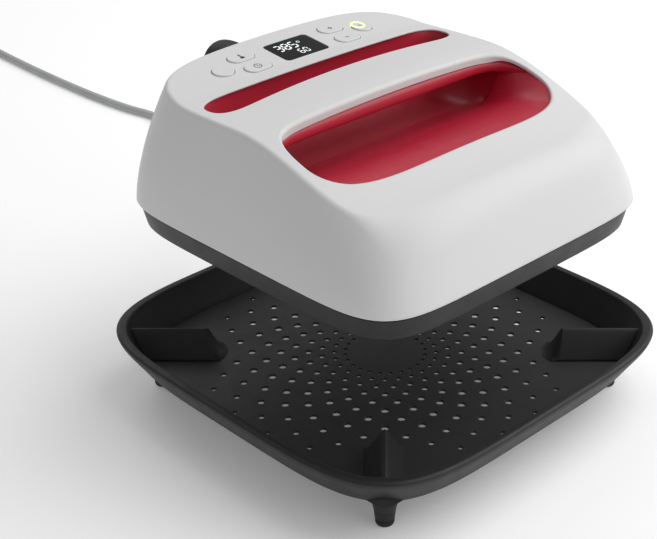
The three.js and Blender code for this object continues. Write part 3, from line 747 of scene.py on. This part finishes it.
class HEATPRESS_OT_cord(bpy.types.Operator):
    """Make the power cord, its boot, its tie and its plug"""

    bl_idname = "heatpress.cord"
    bl_label = "Cord"

    def execute(self, context):
        look = context.scene.cord_look
        jacket = dull_rubber("cord_jacket", tuple(look.jacket_colour), 0.42)
        route = cord_route(look.coil_turns)
        cord = Patchwork()
        rows = tube_rows(route, CORD_RADIUS)
        cord.grid(rows, flip=True)
        cord.cap(rows[0], [0, -1, 0])
        cord.cap(rows[-1], [0, -1, 0])
        cord_piece = cord.make("power_cord", jacket, "cord_rubber")
        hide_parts("cord_drop", "cord_run", "cord_coil")
        boot = self.boot(context)
        plug = self.plug(jacket)
        tie = self.tie(context)
        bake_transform(cord_piece)
        return {"FINISHED"}

    @staticmethod
    def boot(context):
        """Rubber strain relief: a dome on the back wall and a grooved taper that leads the cord down."""
        dome = round_corners([
            (0.0162, BOOT_AT.y), (0.0162, 0.134), (0.0150, 0.1405), (0.0112, 0.1448), (0.0058, 0.1467),
            (0.0003, 0.1470),
        ], 0.004)
        rows = turned(dome, 48)
        placed = np.stack([rows[..., 0] + BOOT_AT.x, rows[..., 2], BOOT_AT.z - rows[..., 1]], axis=-1)
        shape = Patchwork()
        shape.grid(placed)
        shape.cap(placed[0], [0, -1, 0])
        shape.cap(placed[-1], [0, 1, 0])
        along = np.linspace(0, BOOT_RELIEF, 73)
        share = along / BOOT_RELIEF
        groove = 0.0008 * smooth_step(np.cos(share * 10 * np.pi), 0.2, 0.7) * smooth_step(share, 0.3, 0.4)
        radius = np.concatenate([0.0088 - 0.0036 * share - groove, [0.0046, CORD_RADIUS]])
        along = np.concatenate([along, [BOOT_RELIEF + 0.0004, BOOT_RELIEF + 0.0005]])
        relief = tube_rows(BOOT_BEND + BOOT_LEAD * along[:, None], radius, 40)
        shape.grid(relief, flip=True)
        shape.cap(relief[0], -BOOT_LEAD)
        shape.cap(relief[-1], BOOT_LEAD)
        piece = shape.make("strain_relief_boot", dull_rubber(
            "boot_rubber", tuple(context.scene.press_look.trim_colour), 0.5), "dark_rubber")
        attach(piece, "press")
        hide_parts("cord_boot")
        return piece

    @staticmethod
    def plug(jacket):
        """Moulded plug: a soft box that narrows into a lead sleeve, with grip ribs on both sides."""
        front, back = low("plug_body").y, high("plug_body").y
        centre_z = middle("plug_body").z
        along = np.linspace(front, back, 70)
        body = 1 - smooth_step(along, front + 0.026, front + 0.036)
        nose = np.sqrt(np.clip((along - front) / 0.003, 0, 1))
        half_x = (0.0048 + 0.0080 * body) * (0.86 + 0.14 * nose)
        half_z = (0.0043 + 0.0073 * body) * (0.86 + 0.14 * nose)
        rib = 0.0005 * np.maximum(0, np.sin((along - front) * 2 * np.pi / 0.004)) * body
        rib *= smooth_step(along, front + 0.006, front + 0.009)
        height = centre_z * body + 0.0066 * (1 - body)
        unit = bowed_square(1, 3.6, 48)
        rows = np.stack([
            PLUG_AT.x + unit[None, :, 0] * (half_x + rib)[:, None],
            np.broadcast_to(along[:, None], (len(along), len(unit))),
            height[:, None] + unit[None, :, 1] * half_z[:, None],
        ], axis=-1)
        shape = Patchwork()
        shape.grid(rows, flip=True)
        shape.cap(rows[0], [0, -1, 0])
        shape.cap(rows[-1], [0, 1, 0])
        piece = shape.make("moulded_plug", jacket, "cord_rubber")
        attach(piece, "docking_base")
        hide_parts("plug_body")
        return piece

    @staticmethod
    def tie(context):
        """Hook-and-loop strap: a flat loop round the coil's bundle."""
        band = round_box(0.0106, 0.0094, 0.004, 40)
        centre = middle("cord_tie")
        width = np.linspace(-0.005, 0.005, 9)
        swell = 1 + 0.01 * np.cos(width / 0.005 * np.pi / 2)
        rows = np.stack([
            np.broadcast_to(centre.x + width[:, None], (9, 40)),
            centre.y + band[None, :, 0] * swell[:, None],
            0.0095 + band[None, :, 1] * swell[:, None],
        ], axis=-1)
        rows[..., 2] = np.maximum(rows[..., 2], 0.0003)
        inner = rows[::-1].copy()
        inner[..., 1] = centre.y + (inner[..., 1] - centre.y) * 0.9
        inner[..., 2] = 0.0095 + (inner[..., 2] - 0.0095) * 0.9
        shape = Patchwork()
        shape.grid(np.concatenate([rows, inner, rows[:1]]), flip=True)
        piece = shape.make("coil_strap", dull_rubber("strap_fabric", (0.03, 0.03, 0.032), 0.9), "dark_rubber")
        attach(piece, "docking_base")
        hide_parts("cord_tie")
        return piece


# ---- Press ----

def white(context):
    """The casing's plastic, made once and shared by the casing and its buttons."""
    return bpy.data.materials.get("shell_white") or moulded_white(
        "shell_white", tuple(context.scene.press_look.shell_colour))


def button_loop(node, grow, count=56):
    """A button's outline from its CAD node, as wide as its box and grown by a gap."""
    half = (high(node) - low(node)) / 2
    radius = min(half.x, half.y)
    loop = round_box(half.x + grow, half.y + grow, radius + grow - 0.00001, count)
    return loop + np.array(middle(node)[:2])


BUTTONS = tuple(f"{name}_button" for name in ("start", "power", "temperature", "timer", "plus", "minus"))


class HEATPRESS_OT_shell(bpy.types.Operator):
    """Make the white casing with its hand opening, slot, display hole and button holes"""

    bl_idname = "heatpress.shell"
    bl_label = "Casing"

    def execute(self, context):
        look = context.scene.press_look
        shape = Patchwork()
        count = 360
        crease = casing_outline(1, count)
        facing = outward(crease)
        front = smooth_step(-facing[:, 1], 0.25, 0.95)
        radius = look.side_crease + (look.front_crease - look.side_crease) * front
        height = top_height(crease) - SHELL_RIM
        wall_share = 1 - radius / height

        shares = np.linspace(0, 1, 61)
        stack = np.stack([casing_outline(share, count) for share in shares])
        wall = self.wall_rows(stack, wall_share, height)
        inset = crease - facing * radius[:, None]
        edge_top, inset_top = at_height(crease, top_height(crease)), at_height(inset, top_height(inset))
        turn = bezier_rows(wall[-1], edge_top, inset_top, 12)
        rim = casing_outline(0, count)
        rim_out = outward(rim)
        edge = round_corners([
            (0.003, 0.006), (0.003, 0.0), (0.0, 0.0), (0.0, 0.004),
        ], 0.0013)
        foot = np.concatenate([
            rim[None] - rim_out[None] * edge[:, :1, None],
            np.broadcast_to(SHELL_RIM + edge[:, 1:, None], (len(edge), count, 1)),
        ], axis=2)
        shape.grid(np.concatenate([foot[:-1], wall[1:], turn[1:]]))

        front_loop, rear_loop = opening_loop(260), slot_loop(260)
        rise = smooth_step(outward(front_loop)[:, 1], 0.3, 0.95)
        front_radius = look.opening_lip + (look.handle_lip - look.opening_lip) * rise
        ends = smooth_step(np.abs(front_loop[:, 0]), 0.092, 0.1085)
        front_radius = front_radius + (0.0014 - front_radius) * ends
        front_wall = 0.0012 + 0.0023 * rise * (1 - ends)
        holes = []
        for loop, lip, depth in (
            (front_loop, front_radius, front_wall),
            (rear_loop, np.full(len(rear_loop), 0.0008), 0.0004),
            (self.window_loop(), np.full(64, 0.0004), 0.003),
            *((button_loop(name, 0.0004), np.full(56, 0.0005), 0.004) for name in BUTTONS),
        ):
            rows = lip_rows(loop, lip, depth)
            shape.grid(rows)
            holes.append(rows[0][:, :2])
        points, triangles = fill_between(turn[-1][:, :2], holes, 0.0036)
        shape.add(at_height(points, top_height(points)), top_normals(points), triangles)
        piece = shape.make("casing", white(context), "white_shell")
        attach(piece, "press")
        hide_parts("top_shell")
        return {"FINISHED"}

    @staticmethod
    def wall_rows(stack, wall_share, height):
        """Rows up the wall: each column climbs through the stack of outlines to its share of the height."""
        steps = np.linspace(0, 1, 30)[:, None] * wall_share[None]
        place = steps * (len(stack) - 1)
        below = np.clip(place.astype(int), 0, len(stack) - 2)
        part = (place - below)[..., None]
        column = np.broadcast_to(np.arange(stack.shape[1])[None], below.shape)
        flat = stack[below, column] * (1 - part) + stack[below + 1, column] * part
        return np.concatenate([flat, (SHELL_RIM + steps * height[None])[..., None]], axis=2)

    @staticmethod
    def window_loop():
        half = (high("display_window") - low("display_window")) / 2
        centre = np.array(middle("display_window")[:2])
        return round_box(half.x + 0.0003, half.y + 0.0003, 0.0033, 64) + centre


class HEATPRESS_OT_liner(bpy.types.Operator):
    """Make the red hand tunnel and the red underside of the handle"""

    bl_idname = "heatpress.liner"
    bl_label = "Hand tunnel"

    def execute(self, context):
        look = context.scene.press_look
        red = satin_red("liner_red", tuple(look.liner_colour))
        bowl = Patchwork()
        shares = np.concatenate([1 - np.linspace(0, 1, 56) ** 1.7 * 0.98, [0.01]])
        inner = self.bowl_rows(shares, look.opening_lip + 0.0007)
        outer = self.bowl_rows(shares[::-1], look.opening_lip + 0.0007) * [1.012, 1.012, 1] - [0, 0, 0.0022]
        bowl.grid(np.concatenate([outer, inner]))
        bowl.cap(outer[0], [0, 0, -1])
        bowl.cap(inner[-1], [0, 0, 1])
        bar_shape = self.bar_rows(look)
        bowl.grid(bar_shape)
        bowl.cap(bar_shape[0], [-1, 0, 0])
        bowl.cap(bar_shape[-1], [1, 0, 0])
        piece = bowl.make("hand_tunnel", red, "red_liner")
        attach(piece, "press")
        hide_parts("grip_liner")
        return {"FINISHED"}

    @staticmethod
    def bowl_rows(shares, front_sink):
        """Rings of the tunnel's plan shrunk to its centre. Depth grows away from the front, ends and rear:
        z = floor + (edge - floor) * (1 - (1 - f)(1 - e)(1 - r)). f, e and r fall from 1 at the edges to 0."""
        half, cy, hy = 0.1116, -0.0049, 0.0700
        loop = mixed_loop(half, hy, (4.6, 6.1), (13.0, 9.0), 320)
        plan = shares[:, None, None] * loop[None]
        x, y = plan[..., 0], plan[..., 1]
        power_x = np.where(y < 0, 4.6, 13.0)
        power_y = np.where(y < 0, 6.1, 9.0)
        reach_y = hy * np.clip(1 - np.abs(x / half) ** power_x, 0, 1) ** (1 / power_y)
        reach_x = half * np.clip(1 - np.abs(y / hy) ** power_y, 0, 1) ** (1 / power_x)
        near_front = np.clip(1 - (y + reach_y) / 0.088, 0, 1) ** 1.35
        near_end = np.clip(1 - (reach_x - np.abs(x)) / 0.026, 0, 1) ** 2.6
        near_rear = np.clip(1 - (reach_y - y) / 0.014, 0, 1) ** 2.6
        placed = np.stack([x, y + cy], axis=-1)
        sink = front_sink + (0.0007 - front_sink) * smooth_step(placed[..., 1], -0.016, 0.036)
        sink = sink + (0.0014 - sink) * smooth_step(np.abs(x), 0.095, 0.108) * (placed[..., 1] < 0.0)
        edge = top_height(placed) - sink
        lift = 1 - (1 - near_front) * (1 - near_end) * (1 - near_rear)
        return np.concatenate([placed, (TUNNEL_FLOOR + (edge - TUNNEL_FLOOR) * lift)[..., None]], axis=2)

    @staticmethod
    def bar_rows(look):
        """The handle's red underside: a U section along x between the opening and the slot."""
        x = 0.1082 * np.sin(np.linspace(-np.pi / 2, np.pi / 2, 90))
        mid_front, reach = (OPENING["front"] + OPENING["rear"]) / 2, (OPENING["rear"] - OPENING["front"]) / 2
        mid_slot, slot_reach = (SLOT["front"] + SLOT["rear"]) / 2, (SLOT["rear"] - SLOT["front"]) / 2
        front = mid_front + 0.0004 + reach * np.clip(1 - np.abs(x / OPENING["half"]) ** 13, 0, 1) ** (1 / 2.4)
        curve = np.clip(1 - np.abs(x / SLOT["half"]) ** 14, 0, 1) ** (1 / 2.3)
        rear = mid_slot - 0.0003 - slot_reach * slot_waist(x) * curve
        top_front = top_height(np.column_stack([x, front])) - look.handle_lip - 0.0008
        top_rear = top_height(np.column_stack([x, rear])) - 0.0010
        bend = 0.004
        t = np.linspace(0, 1, 9)
        t = t[None]
        curl = lambda a, b, c: a[:, None] * (1 - t) ** 2 + 2 * b[:, None] * t * (1 - t) + c[:, None] * t ** 2
        low_z, bend_z = np.full(len(x), HANDLE_UNDER), np.full(len(x), HANDLE_UNDER + bend)
        y = np.concatenate([
            front[:, None], curl(front, front, front + bend), curl(rear - bend, rear, rear), rear[:, None],
        ], axis=1)
        z = np.concatenate([
            top_front[:, None], curl(np.minimum(bend_z, top_front - 0.0005), low_z, low_z),
            curl(low_z, low_z, bend_z), top_rear[:, None],
        ], axis=1)
        return np.stack([np.broadcast_to(x[:, None], y.shape), y, z], axis=-1)


def ribbon(shape, line, width, centre, lift):
    """A flat strip along a line of (u, v) points on the panel, its sides half a width from the line."""
    line = np.asarray(line, float)
    along = np.gradient(line, axis=0)
    along /= np.linalg.norm(along, axis=1, keepdims=True)
    side = np.column_stack([-along[:, 1], along[:, 0]]) * width / 2
    edges = np.stack([line - side, line + side]) + np.asarray(centre, float)
    shape.grid(np.concatenate([edges, (top_height(edges) + lift)[..., None]], axis=2), closed=False)


def arc(radius, start, end, count=24):
    """Points along a circle between two angles in degrees, anticlockwise from +x."""
    angle = np.radians(np.linspace(start, end, count))
    return np.column_stack([radius * np.cos(angle), radius * np.sin(angle)])


MM = 0.001
ICONS = {
    "start_button": [],
    "power_button": [(arc(2.1 * MM, 125, 415), 0.6), ([(0, 0.6 * MM), (0, 2.9 * MM)], 0.6)],
    "temperature_button": [
        ([(0, -1.2 * MM), (0, 3.4 * MM)], 1.5), (arc(0.9 * MM, 0, 360) + [0, -2.2 * MM], 1.9),
    ],
    "timer_button": [
        (arc(2.7 * MM, 0, 360), 0.7), ([(0, 1.5 * MM), (0, 0), (1.2 * MM, -0.7 * MM)], 0.55),
        ([(-0.9 * MM, 3.5 * MM), (0.9 * MM, 3.5 * MM)], 0.7),
    ],
    "plus_button": [([(-2 * MM, 0), (2 * MM, 0)], 0.9), ([(0, -2 * MM), (0, 2 * MM)], 0.9)],
    "minus_button": [([(-2 * MM, 0), (2 * MM, 0)], 0.8)],
}


class HEATPRESS_OT_buttons(bpy.types.Operator):
    """Make the six button caps with their printed signs"""

    bl_idname = "heatpress.buttons"
    bl_label = "Buttons"

    def execute(self, context):
        ink = grained_black("button_ink", (0.1, 0.1, 0.105), 3000, 0.5)
        lit = glowing("ring_light", (0.62, 0.95, 0.3), 1.6)
        for node in BUTTONS:
            body = node + "_cap"
            cap = self.cap(node, 0.0008)
            piece = cap.make(node.replace("_button", "_key"), white(context), "white_shell")
            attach(piece, body)
            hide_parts(node)
            if ICONS[node]:
                sign = Patchwork()
                for line, width in ICONS[node]:
                    ribbon(sign, line, width * MM, middle(node)[:2], 0.00068)
                mark = sign.make(node.replace("_button", "_sign"), ink, "charcoal_plastic")
                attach(mark, body)
        ring = Patchwork()
        centre = np.array(middle("power_light_ring")[:2])
        turn = round_box(1, 1, 1, 64)
        radii = np.array([0.0054, 0.0054, 0.0052, 0.0043, 0.0041, 0.0041])
        lift = np.array([-0.001, 0.0007, 0.0009, 0.0009, 0.0007, -0.001])
        rows = centre + turn[None] * radii[:, None, None]
        rows = np.concatenate([rows, (top_height(rows) + lift[:, None])[..., None]], axis=2)
        ring.grid(np.concatenate([rows, rows[:1]]))
        glow = ring.make("power_ring", lit, "light_ring")
        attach(glow, "power_button_cap")
        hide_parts("power_light_ring")
        return {"FINISHED"}

    @staticmethod
    def cap(node, proud):
        """A cap that follows the panel's slope: straight sides, a small round edge, a slightly dished top."""
        loop = button_loop(node, 0.0)
        centre = np.array(middle(node)[:2])
        edge = 0.0007
        turn = np.linspace(0, np.pi / 2, 6)
        insets = np.concatenate([[0, 0], edge * (1 - np.cos(turn))])
        lifts = np.concatenate([[-0.006, -0.002], proud - edge * (1 - np.sin(turn))])
        outline = loop[None] - outward(loop)[None] * insets[:, None, None]
        rows = np.concatenate([outline, (top_height(outline) + lifts[:, None])[..., None]], axis=2)
        shrink = np.array([0.86, 0.6, 0.3, 0.03])[:, None, None]
        inner = centre + (outline[-1][None] - centre) * shrink
        dish = proud - 0.0002 * (1 - shrink[..., 0] ** 2)
        inner = np.concatenate([inner, (top_height(inner) + dish)[..., None]], axis=2)
        shape = Patchwork()
        shape.grid(np.concatenate([rows, inner]))
        shape.cap(inner[-1], [0, 0, 1])
        shape.cap(rows[0], [0, 0, -1])
        return shape


SEGMENTS = {
    "top": ((0, 1), (1, 1)), "middle": ((0, 0.5), (1, 0.5)), "bottom": ((0, 0), (1, 0)),
    "upper_left": ((0, 0.5), (0, 1)), "lower_left": ((0, 0), (0, 0.5)),
    "upper_right": ((1, 0.5), (1, 1)), "lower_right": ((1, 0), (1, 0.5)),
}
FIGURES = {
    "0": ("top", "bottom", "upper_left", "lower_left", "upper_right", "lower_right"),
    "3": ("top", "middle", "bottom", "upper_right", "lower_right"),
    "5": ("top", "middle", "bottom", "upper_left", "lower_right"),
    "6": ("top", "middle", "bottom", "upper_left", "lower_left", "lower_right"),
    "8": ("top", "middle", "bottom", "upper_left", "lower_left", "upper_right", "lower_right"),
}


class HEATPRESS_OT_display(bpy.types.Operator):
    """Make the display glass and its lit figures"""

    bl_idname = "heatpress.display"
    bl_label = "Display"

    def execute(self, context):
        glass = Patchwork()
        half = (high("display_window") - low("display_window")) / 2
        centre = np.array(middle("display_window")[:2])
        loop = round_box(half.x, half.y, 0.003, 64)
        insets = np.array([1, 1, 0.995, 0.985, 0.7, 0.35, 0.02])
        lift = np.array([-0.0024, -0.0007, -0.0004, -0.0003, -0.0003, -0.0003, -0.0003])
        rows = centre + loop[None] * insets[:, None, None]
        rows = np.concatenate([rows, (top_height(rows) + lift[:, None])[..., None]], axis=2)
        glass.grid(rows)
        glass.cap(rows[-1], [0, 0, 1])
        glass.cap(rows[0], [0, 0, -1])
        black = dark_glass("display_black", (0.004, 0.004, 0.005))
        pane = glass.make("display_glass_pane", black, "display_glass")
        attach(pane, "press")
        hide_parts("display_window")

        figures = Patchwork()
        self.figures(figures, "385", centre + [-0.0138, 0.0002], 0.0042, 0.0085, 0.0022, 0.0011)
        self.figures(figures, "60", centre + [-0.0022, -0.0096], 0.0031, 0.0062, 0.0016, 0.0008)
        ribbon(figures, arc(1.1 * MM, 0, 360), 0.5 * MM, centre + [0.0072, 0.0062], -0.00026)
        glow = glowing("figure_light", (0.8, 0.85, 0.85), 0.75)
        lit = figures.make("display_figures", glow, "display_glass")
        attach(lit, "press")
        return {"FINISHED"}

    @staticmethod
    def figures(shape, text, corner, width, height, gap, stroke):
        for place, figure in enumerate(text):
            for name in FIGURES[figure]:
                start, end = (np.array(p) * [width, height] for p in SEGMENTS[name])
                trim = (end - start) / np.linalg.norm(end - start) * stroke * 0.55
                offset = np.array([place * (width + gap), 0])
                ribbon(shape, [start + trim + offset, end - trim + offset], stroke, corner, -0.00026)


class HEATPRESS_OT_skirt(bpy.types.Operator):
    """Make the charcoal skirt round the heat plate"""

    bl_idname = "heatpress.skirt"
    bl_label = "Skirt"

    def execute(self, context):
        count, bottom, top = 320, low("skirt").z, high("skirt").z
        opening = round_box(0.1152, 0.1152, 0.0087, count)
        section = round_corners([
            (0.1216, bottom), (0.1280, bottom + 0.0002), (0.1310, top), (0.1288, top), (0.1286, top + 0.006),
            (0.1262, top + 0.006), (0.1250, bottom + 0.0045), (0.1216, bottom + 0.0045),
        ], 0.0012)
        rows = [at_height(opening, bottom)]
        rows += [at_height(bowed_square(half, SHELL_POWER, count), z) for half, z in section]
        rows += [at_height(opening, bottom + 0.0045), at_height(opening, bottom)]
        shape = Patchwork()
        shape.grid(np.stack(rows))
        piece = shape.make("lower_skirt", grained_black(
            "skirt_black", tuple(context.scene.press_look.trim_colour)), "black_plastic")
        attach(piece, "press")
        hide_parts("skirt")
        return {"FINISHED"}


# ---- Docking base ----

def tray_plastic(context):
    """The base's charcoal plastic, made once."""
    return bpy.data.materials.get("tray_charcoal") or grained_black(
        "tray_charcoal", tuple(context.scene.base_look.tray_colour), 1700, 0.5)


class HEATPRESS_OT_tray(bpy.types.Operator):
    """Make the docking tray with its rolled rim"""

    bl_idname = "heatpress.tray"
    bl_label = "Tray"

    def execute(self, context):
        inner = FLOOR_HALF + 0.0004
        section = round_corners([
            (0.133, TRAY_BOTTOM), (0.1392, TRAY_BOTTOM), (0.1438, TRAY_BOTTOM + 0.0041),
            (TRAY_HALF - 0.0010, TRAY_TOP - 0.0052), (TRAY_HALF, TRAY_TOP - 0.0016),
            (TRAY_HALF - 0.0018, TRAY_TOP), (TRAY_HALF - 0.0063, TRAY_TOP - 0.0001),
            (TRAY_HALF - 0.0072, TRAY_TOP - 0.0025),
            (inner + 0.0012, FLOOR_TOP + 0.003), (inner, FLOOR_TOP - 0.0006), (inner, FLOOR_BOTTOM - 0.0002),
            (0.133, FLOOR_BOTTOM - 0.0002), (0.133, TRAY_BOTTOM),
        ], 0.0016)
        rows = np.stack([at_height(bowed_square(half, TRAY_POWER, 360), z) for half, z in section])
        shape = Patchwork()
        shape.grid(rows)
        piece = shape.make("docking_tray", tray_plastic(context), "charcoal_plastic")
        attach(piece, "docking_base")
        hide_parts("base_tray")
        return {"FINISHED"}


class HEATPRESS_OT_vents(bpy.types.Operator):
    """Make the tray's floor with its rings of round vents"""

    bl_idname = "heatpress.vents"
    bl_label = "Vent floor"

    def execute(self, context):
        look = context.scene.base_look
        outline = bowed_square(FLOOR_HALF, TRAY_POWER, 240)
        turn = np.arange(14) * 2 * np.pi / 14
        circle = np.column_stack([np.cos(turn), np.sin(turn)])
        holes = self.vent_places(look)
        shape = Patchwork()
        rims = []
        chamfer = 0.00035
        for x, y, radius in holes:
            steps = [(radius + chamfer, FLOOR_TOP), (radius, FLOOR_TOP - chamfer), (radius, FLOOR_BOTTOM)]
            shape.grid(np.stack([at_height(circle * r + [x, y], z) for r, z in steps]))
            rims.append(circle * (radius + chamfer) + [x, y])
        for loops, z, facing in (
            (rims, FLOOR_TOP, 1.0),
            ([circle * r + [x, y] for x, y, r in holes], FLOOR_BOTTOM, -1.0),
        ):
            points, triangles = fill_between(outline, loops, 0.006)
            normals = np.tile([0.0, 0.0, facing], (len(points), 1))
            shape.add(at_height(points, z), normals, triangles if facing > 0 else triangles[:, ::-1])
        shape.grid(np.stack([at_height(outline, FLOOR_BOTTOM), at_height(outline, FLOOR_TOP)]))
        floor_plastic = grained_black("floor_charcoal", tint(look.tray_colour, 2.3), 1700, 0.5)
        piece = shape.make("perforated_floor", floor_plastic, "charcoal_plastic")
        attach(piece, "docking_base")
        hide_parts("vent_floor")
        return {"FINISHED"}

    @staticmethod
    def vent_places(look):
        """Centres and radii of the vents: gaps grow outwards, and every other ring turns by half a step."""
        places = []
        for ring in range(look.vent_rings):
            share = ring / max(1, look.vent_rings - 1)
            reach = look.inner_ring + (look.outer_ring - look.inner_ring) * share ** 1.1
            size = 0.0029 + 0.0023 * math.sin(math.pi * share ** 1.15) + 0.0006 * share
            angle = (np.arange(look.vents_a_ring) + 0.5 * ((ring + 1) % 2)) * 2 * np.pi / look.vents_a_ring
            x, y = reach * np.cos(angle), reach * np.sin(angle)
            along = (np.abs(x) + np.abs(y)) / math.sqrt(2)
            across = np.abs(np.abs(x) - np.abs(y)) / math.sqrt(2)
            clear = (along < 0.108) | (across > 0.0174)
            places += [(a, b, size / 2) for a, b in zip(x[clear], y[clear])]
        return places


class HEATPRESS_OT_rests(bpy.types.Operator):
    """Make the four corner rests, the feet and the rubber pads"""

    bl_idname = "heatpress.rests"
    bl_label = "Rests and feet"

    def execute(self, context):
        plastic = tray_plastic(context)
        pad_rubber = dull_rubber("pad_rubber", (0.02, 0.02, 0.021), 0.7)
        for corner, (sx, sy) in CORNERS.items():
            turn = math.atan2(sy, sx)
            rest = Patchwork()
            rows = self.rest_rows()
            cosine, sine = math.cos(turn), math.sin(turn)
            flat = rows[..., :2] @ np.array([[cosine, sine], [-sine, cosine]])
            rows = np.concatenate([flat, rows[..., 2:]], axis=2)
            rest.grid(rows)
            rest.cap(rows[0], [-math.cos(turn), -math.sin(turn), 0])
            rest.cap(rows[-1], [math.cos(turn), math.sin(turn), 0])
            self.finish(rest, f"rest_{corner}", plastic, "charcoal_plastic", f"corner_rest_{corner}")
            x, y = sx * FOOT_REACH, sy * FOOT_REACH
            foot_low, foot_high = low(f"foot_{corner}").z, high(f"foot_{corner}").z
            profile = round_corners([
                (0.0020, foot_high), (0.0020, foot_low + 0.006), (0.0035, foot_low + 0.006),
                (0.0035, foot_low), (0.0064, foot_low), (0.0074, foot_low + 0.008),
                (0.0094, foot_high - 0.002), (0.0120, foot_high),
                (0.0020, foot_high),
            ], 0.0005)
            self.turned_piece(profile, x, y, f"leg_{corner}", plastic, "charcoal_plastic", f"foot_{corner}")
            pad = round_corners([
                (0.0002, 0.0), (0.0056, 0.0), (0.0063, 0.0014), (0.0063, 0.004), (0.0002, 0.004),
            ], 0.0006)
            self.turned_piece(pad, x, y, f"pad_{corner}", pad_rubber, "dark_rubber", f"foot_pad_{corner}")
        return {"FINISHED"}

    @staticmethod
    def finish(shape, name, material, slot, node):
        piece = shape.make(name, material, slot)
        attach(piece, "docking_base")
        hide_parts(node)

    def turned_piece(self, profile, x, y, name, material, slot, node):
        shape = Patchwork()
        rows = turned(profile, 36) + [x, y, 0]
        shape.grid(rows)
        shape.cap(rows[0], [0, 0, -1])
        shape.cap(rows[-1], [0, 0, 1])
        self.finish(shape, name, material, slot, node)

    @staticmethod
    def rest_rows():
        """A roof along +x. Its ridge rises from the nose in a hollow curve, and its end follows the
        tray's wall.
        Across, height falls from the ridge as sqrt(v^2 + e^2), which rounds the ridge."""
        bottom, ridge_top = FLOOR_TOP + 0.0002, high("corner_rest_front_left").z
        nose, ridge_start = 0.1140, 0.1255
        u = np.concatenate([np.linspace(0, 0.22, 16)[:-1], np.linspace(0.22, 1, 14)])[:, None]
        v = np.linspace(1, -1, 31)[None]
        end = 0.1755
        along = nose + u * (end - nose)
        width = 0.0134 * np.clip((along - nose) / 0.006 + 0.12, 0, 1) ** 0.55
        rise = np.clip((along - nose) / (ridge_start - nose), 0, 1) ** 1.7
        soft = 0.1
        roof = 1 - (np.sqrt(v ** 2 + soft ** 2) - soft) / (math.sqrt(1 + soft ** 2) - soft)
        height = bottom + (ridge_top - bottom) * rise * roof
        across = v * width
        lean = (height - FLOOR_TOP) * 0.43 - across ** 2 / 0.0912
        x = along + u * lean
        top = np.stack([np.broadcast_to(x, height.shape), -across + 0 * height, height], axis=-1)
        under = top[:, ::-1].copy()
        under[..., 2] = bottom - 0.0001
        return np.concatenate([top, under[:, 1:-1]], axis=1)[:, ::-1]


# ---- Parts that keep their CAD shape ----

class HEATPRESS_OT_inner_parts(bpy.types.Operator):
    """Give the CAD parts that stay their own materials"""

    bl_idname = "heatpress.inner_parts"
    bl_label = "Inner parts"

    def execute(self, context):
        steel = bright_steel("screw_steel", (0.55, 0.55, 0.56), 0.32)
        sheet = bright_steel("shield_steel", (0.5, 0.5, 0.5), 0.4)
        nickel = bright_steel("blade_nickel", (0.62, 0.6, 0.56), 0.22)
        plate = coated_plate("plate_coating", (0.045, 0.046, 0.048))
        board = board_green("board_mask", (0.012, 0.1, 0.035))
        felt = pressed_fibre("insulation_fibre", (0.72, 0.68, 0.58))
        bead = pressed_fibre("ceramic_bead", (0.7, 0.68, 0.62))
        gland = dull_rubber("gland_rubber", (0.02, 0.02, 0.021), 0.6)
        dress = {
            "heat_plate": plate, "heating_element": sheet, "insulation_pad": felt, "heat_shield": sheet,
            "thermistor": bead, "thermal_fuse": nickel, "control_board": board, "power_board": board,
            "cord_gland": gland, "plug_blade_left": nickel, "plug_blade_right": nickel,
            "plug_earth_pin": nickel,
        }
        for name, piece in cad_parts.items():
            material = dress.get(name, steel)
            if piece.hide_render:
                continue
            piece.data.materials.clear()
            piece.data.materials.append(material)
        return {"FINISHED"}


# ---- Sidebar and start ----

PIECES = (
    HEATPRESS_OT_stage, HEATPRESS_OT_cord, HEATPRESS_OT_shell, HEATPRESS_OT_liner, HEATPRESS_OT_buttons,
    HEATPRESS_OT_display, HEATPRESS_OT_skirt, HEATPRESS_OT_tray, HEATPRESS_OT_vents, HEATPRESS_OT_rests,
    HEATPRESS_OT_inner_parts,
)
LOOKS = {"press_look": PressLook, "base_look": BaseLook, "cord_look": CordLook, "stage_look": StageLook}


class HEATPRESS_PT_sidebar(bpy.types.Panel):
    """Lists the looks and the pieces of the heat press"""

    bl_label = "Heat press"
    bl_idname = "HEATPRESS_PT_sidebar"
    bl_space_type = "VIEW_3D"
    bl_region_type = "UI"
    bl_category = "Heat press"

    def draw(self, context):
        for name, look in LOOKS.items():
            box = self.layout.box()
            for key in look.__annotations__:
                box.prop(getattr(context.scene, name), key)
        for piece in PIECES:
            self.layout.operator(piece.bl_idname)


CLASSES = (*LOOKS.values(), *PIECES, HEATPRESS_PT_sidebar)


def register():
    for made in CLASSES:
        bpy.utils.register_class(made)
    for name, look in LOOKS.items():
        setattr(bpy.types.Scene, name, bpy.props.PointerProperty(type=look))


def unregister():
    for name in LOOKS:
        delattr(bpy.types.Scene, name)
    for made in reversed(CLASSES):
        bpy.utils.unregister_class(made)


def main():
    """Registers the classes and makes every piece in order."""
    register()
    for piece in PIECES:
        group, name = piece.bl_idname.split(".")
        getattr(getattr(bpy.ops, group), name)()


if __name__ == "__main__":
    main()
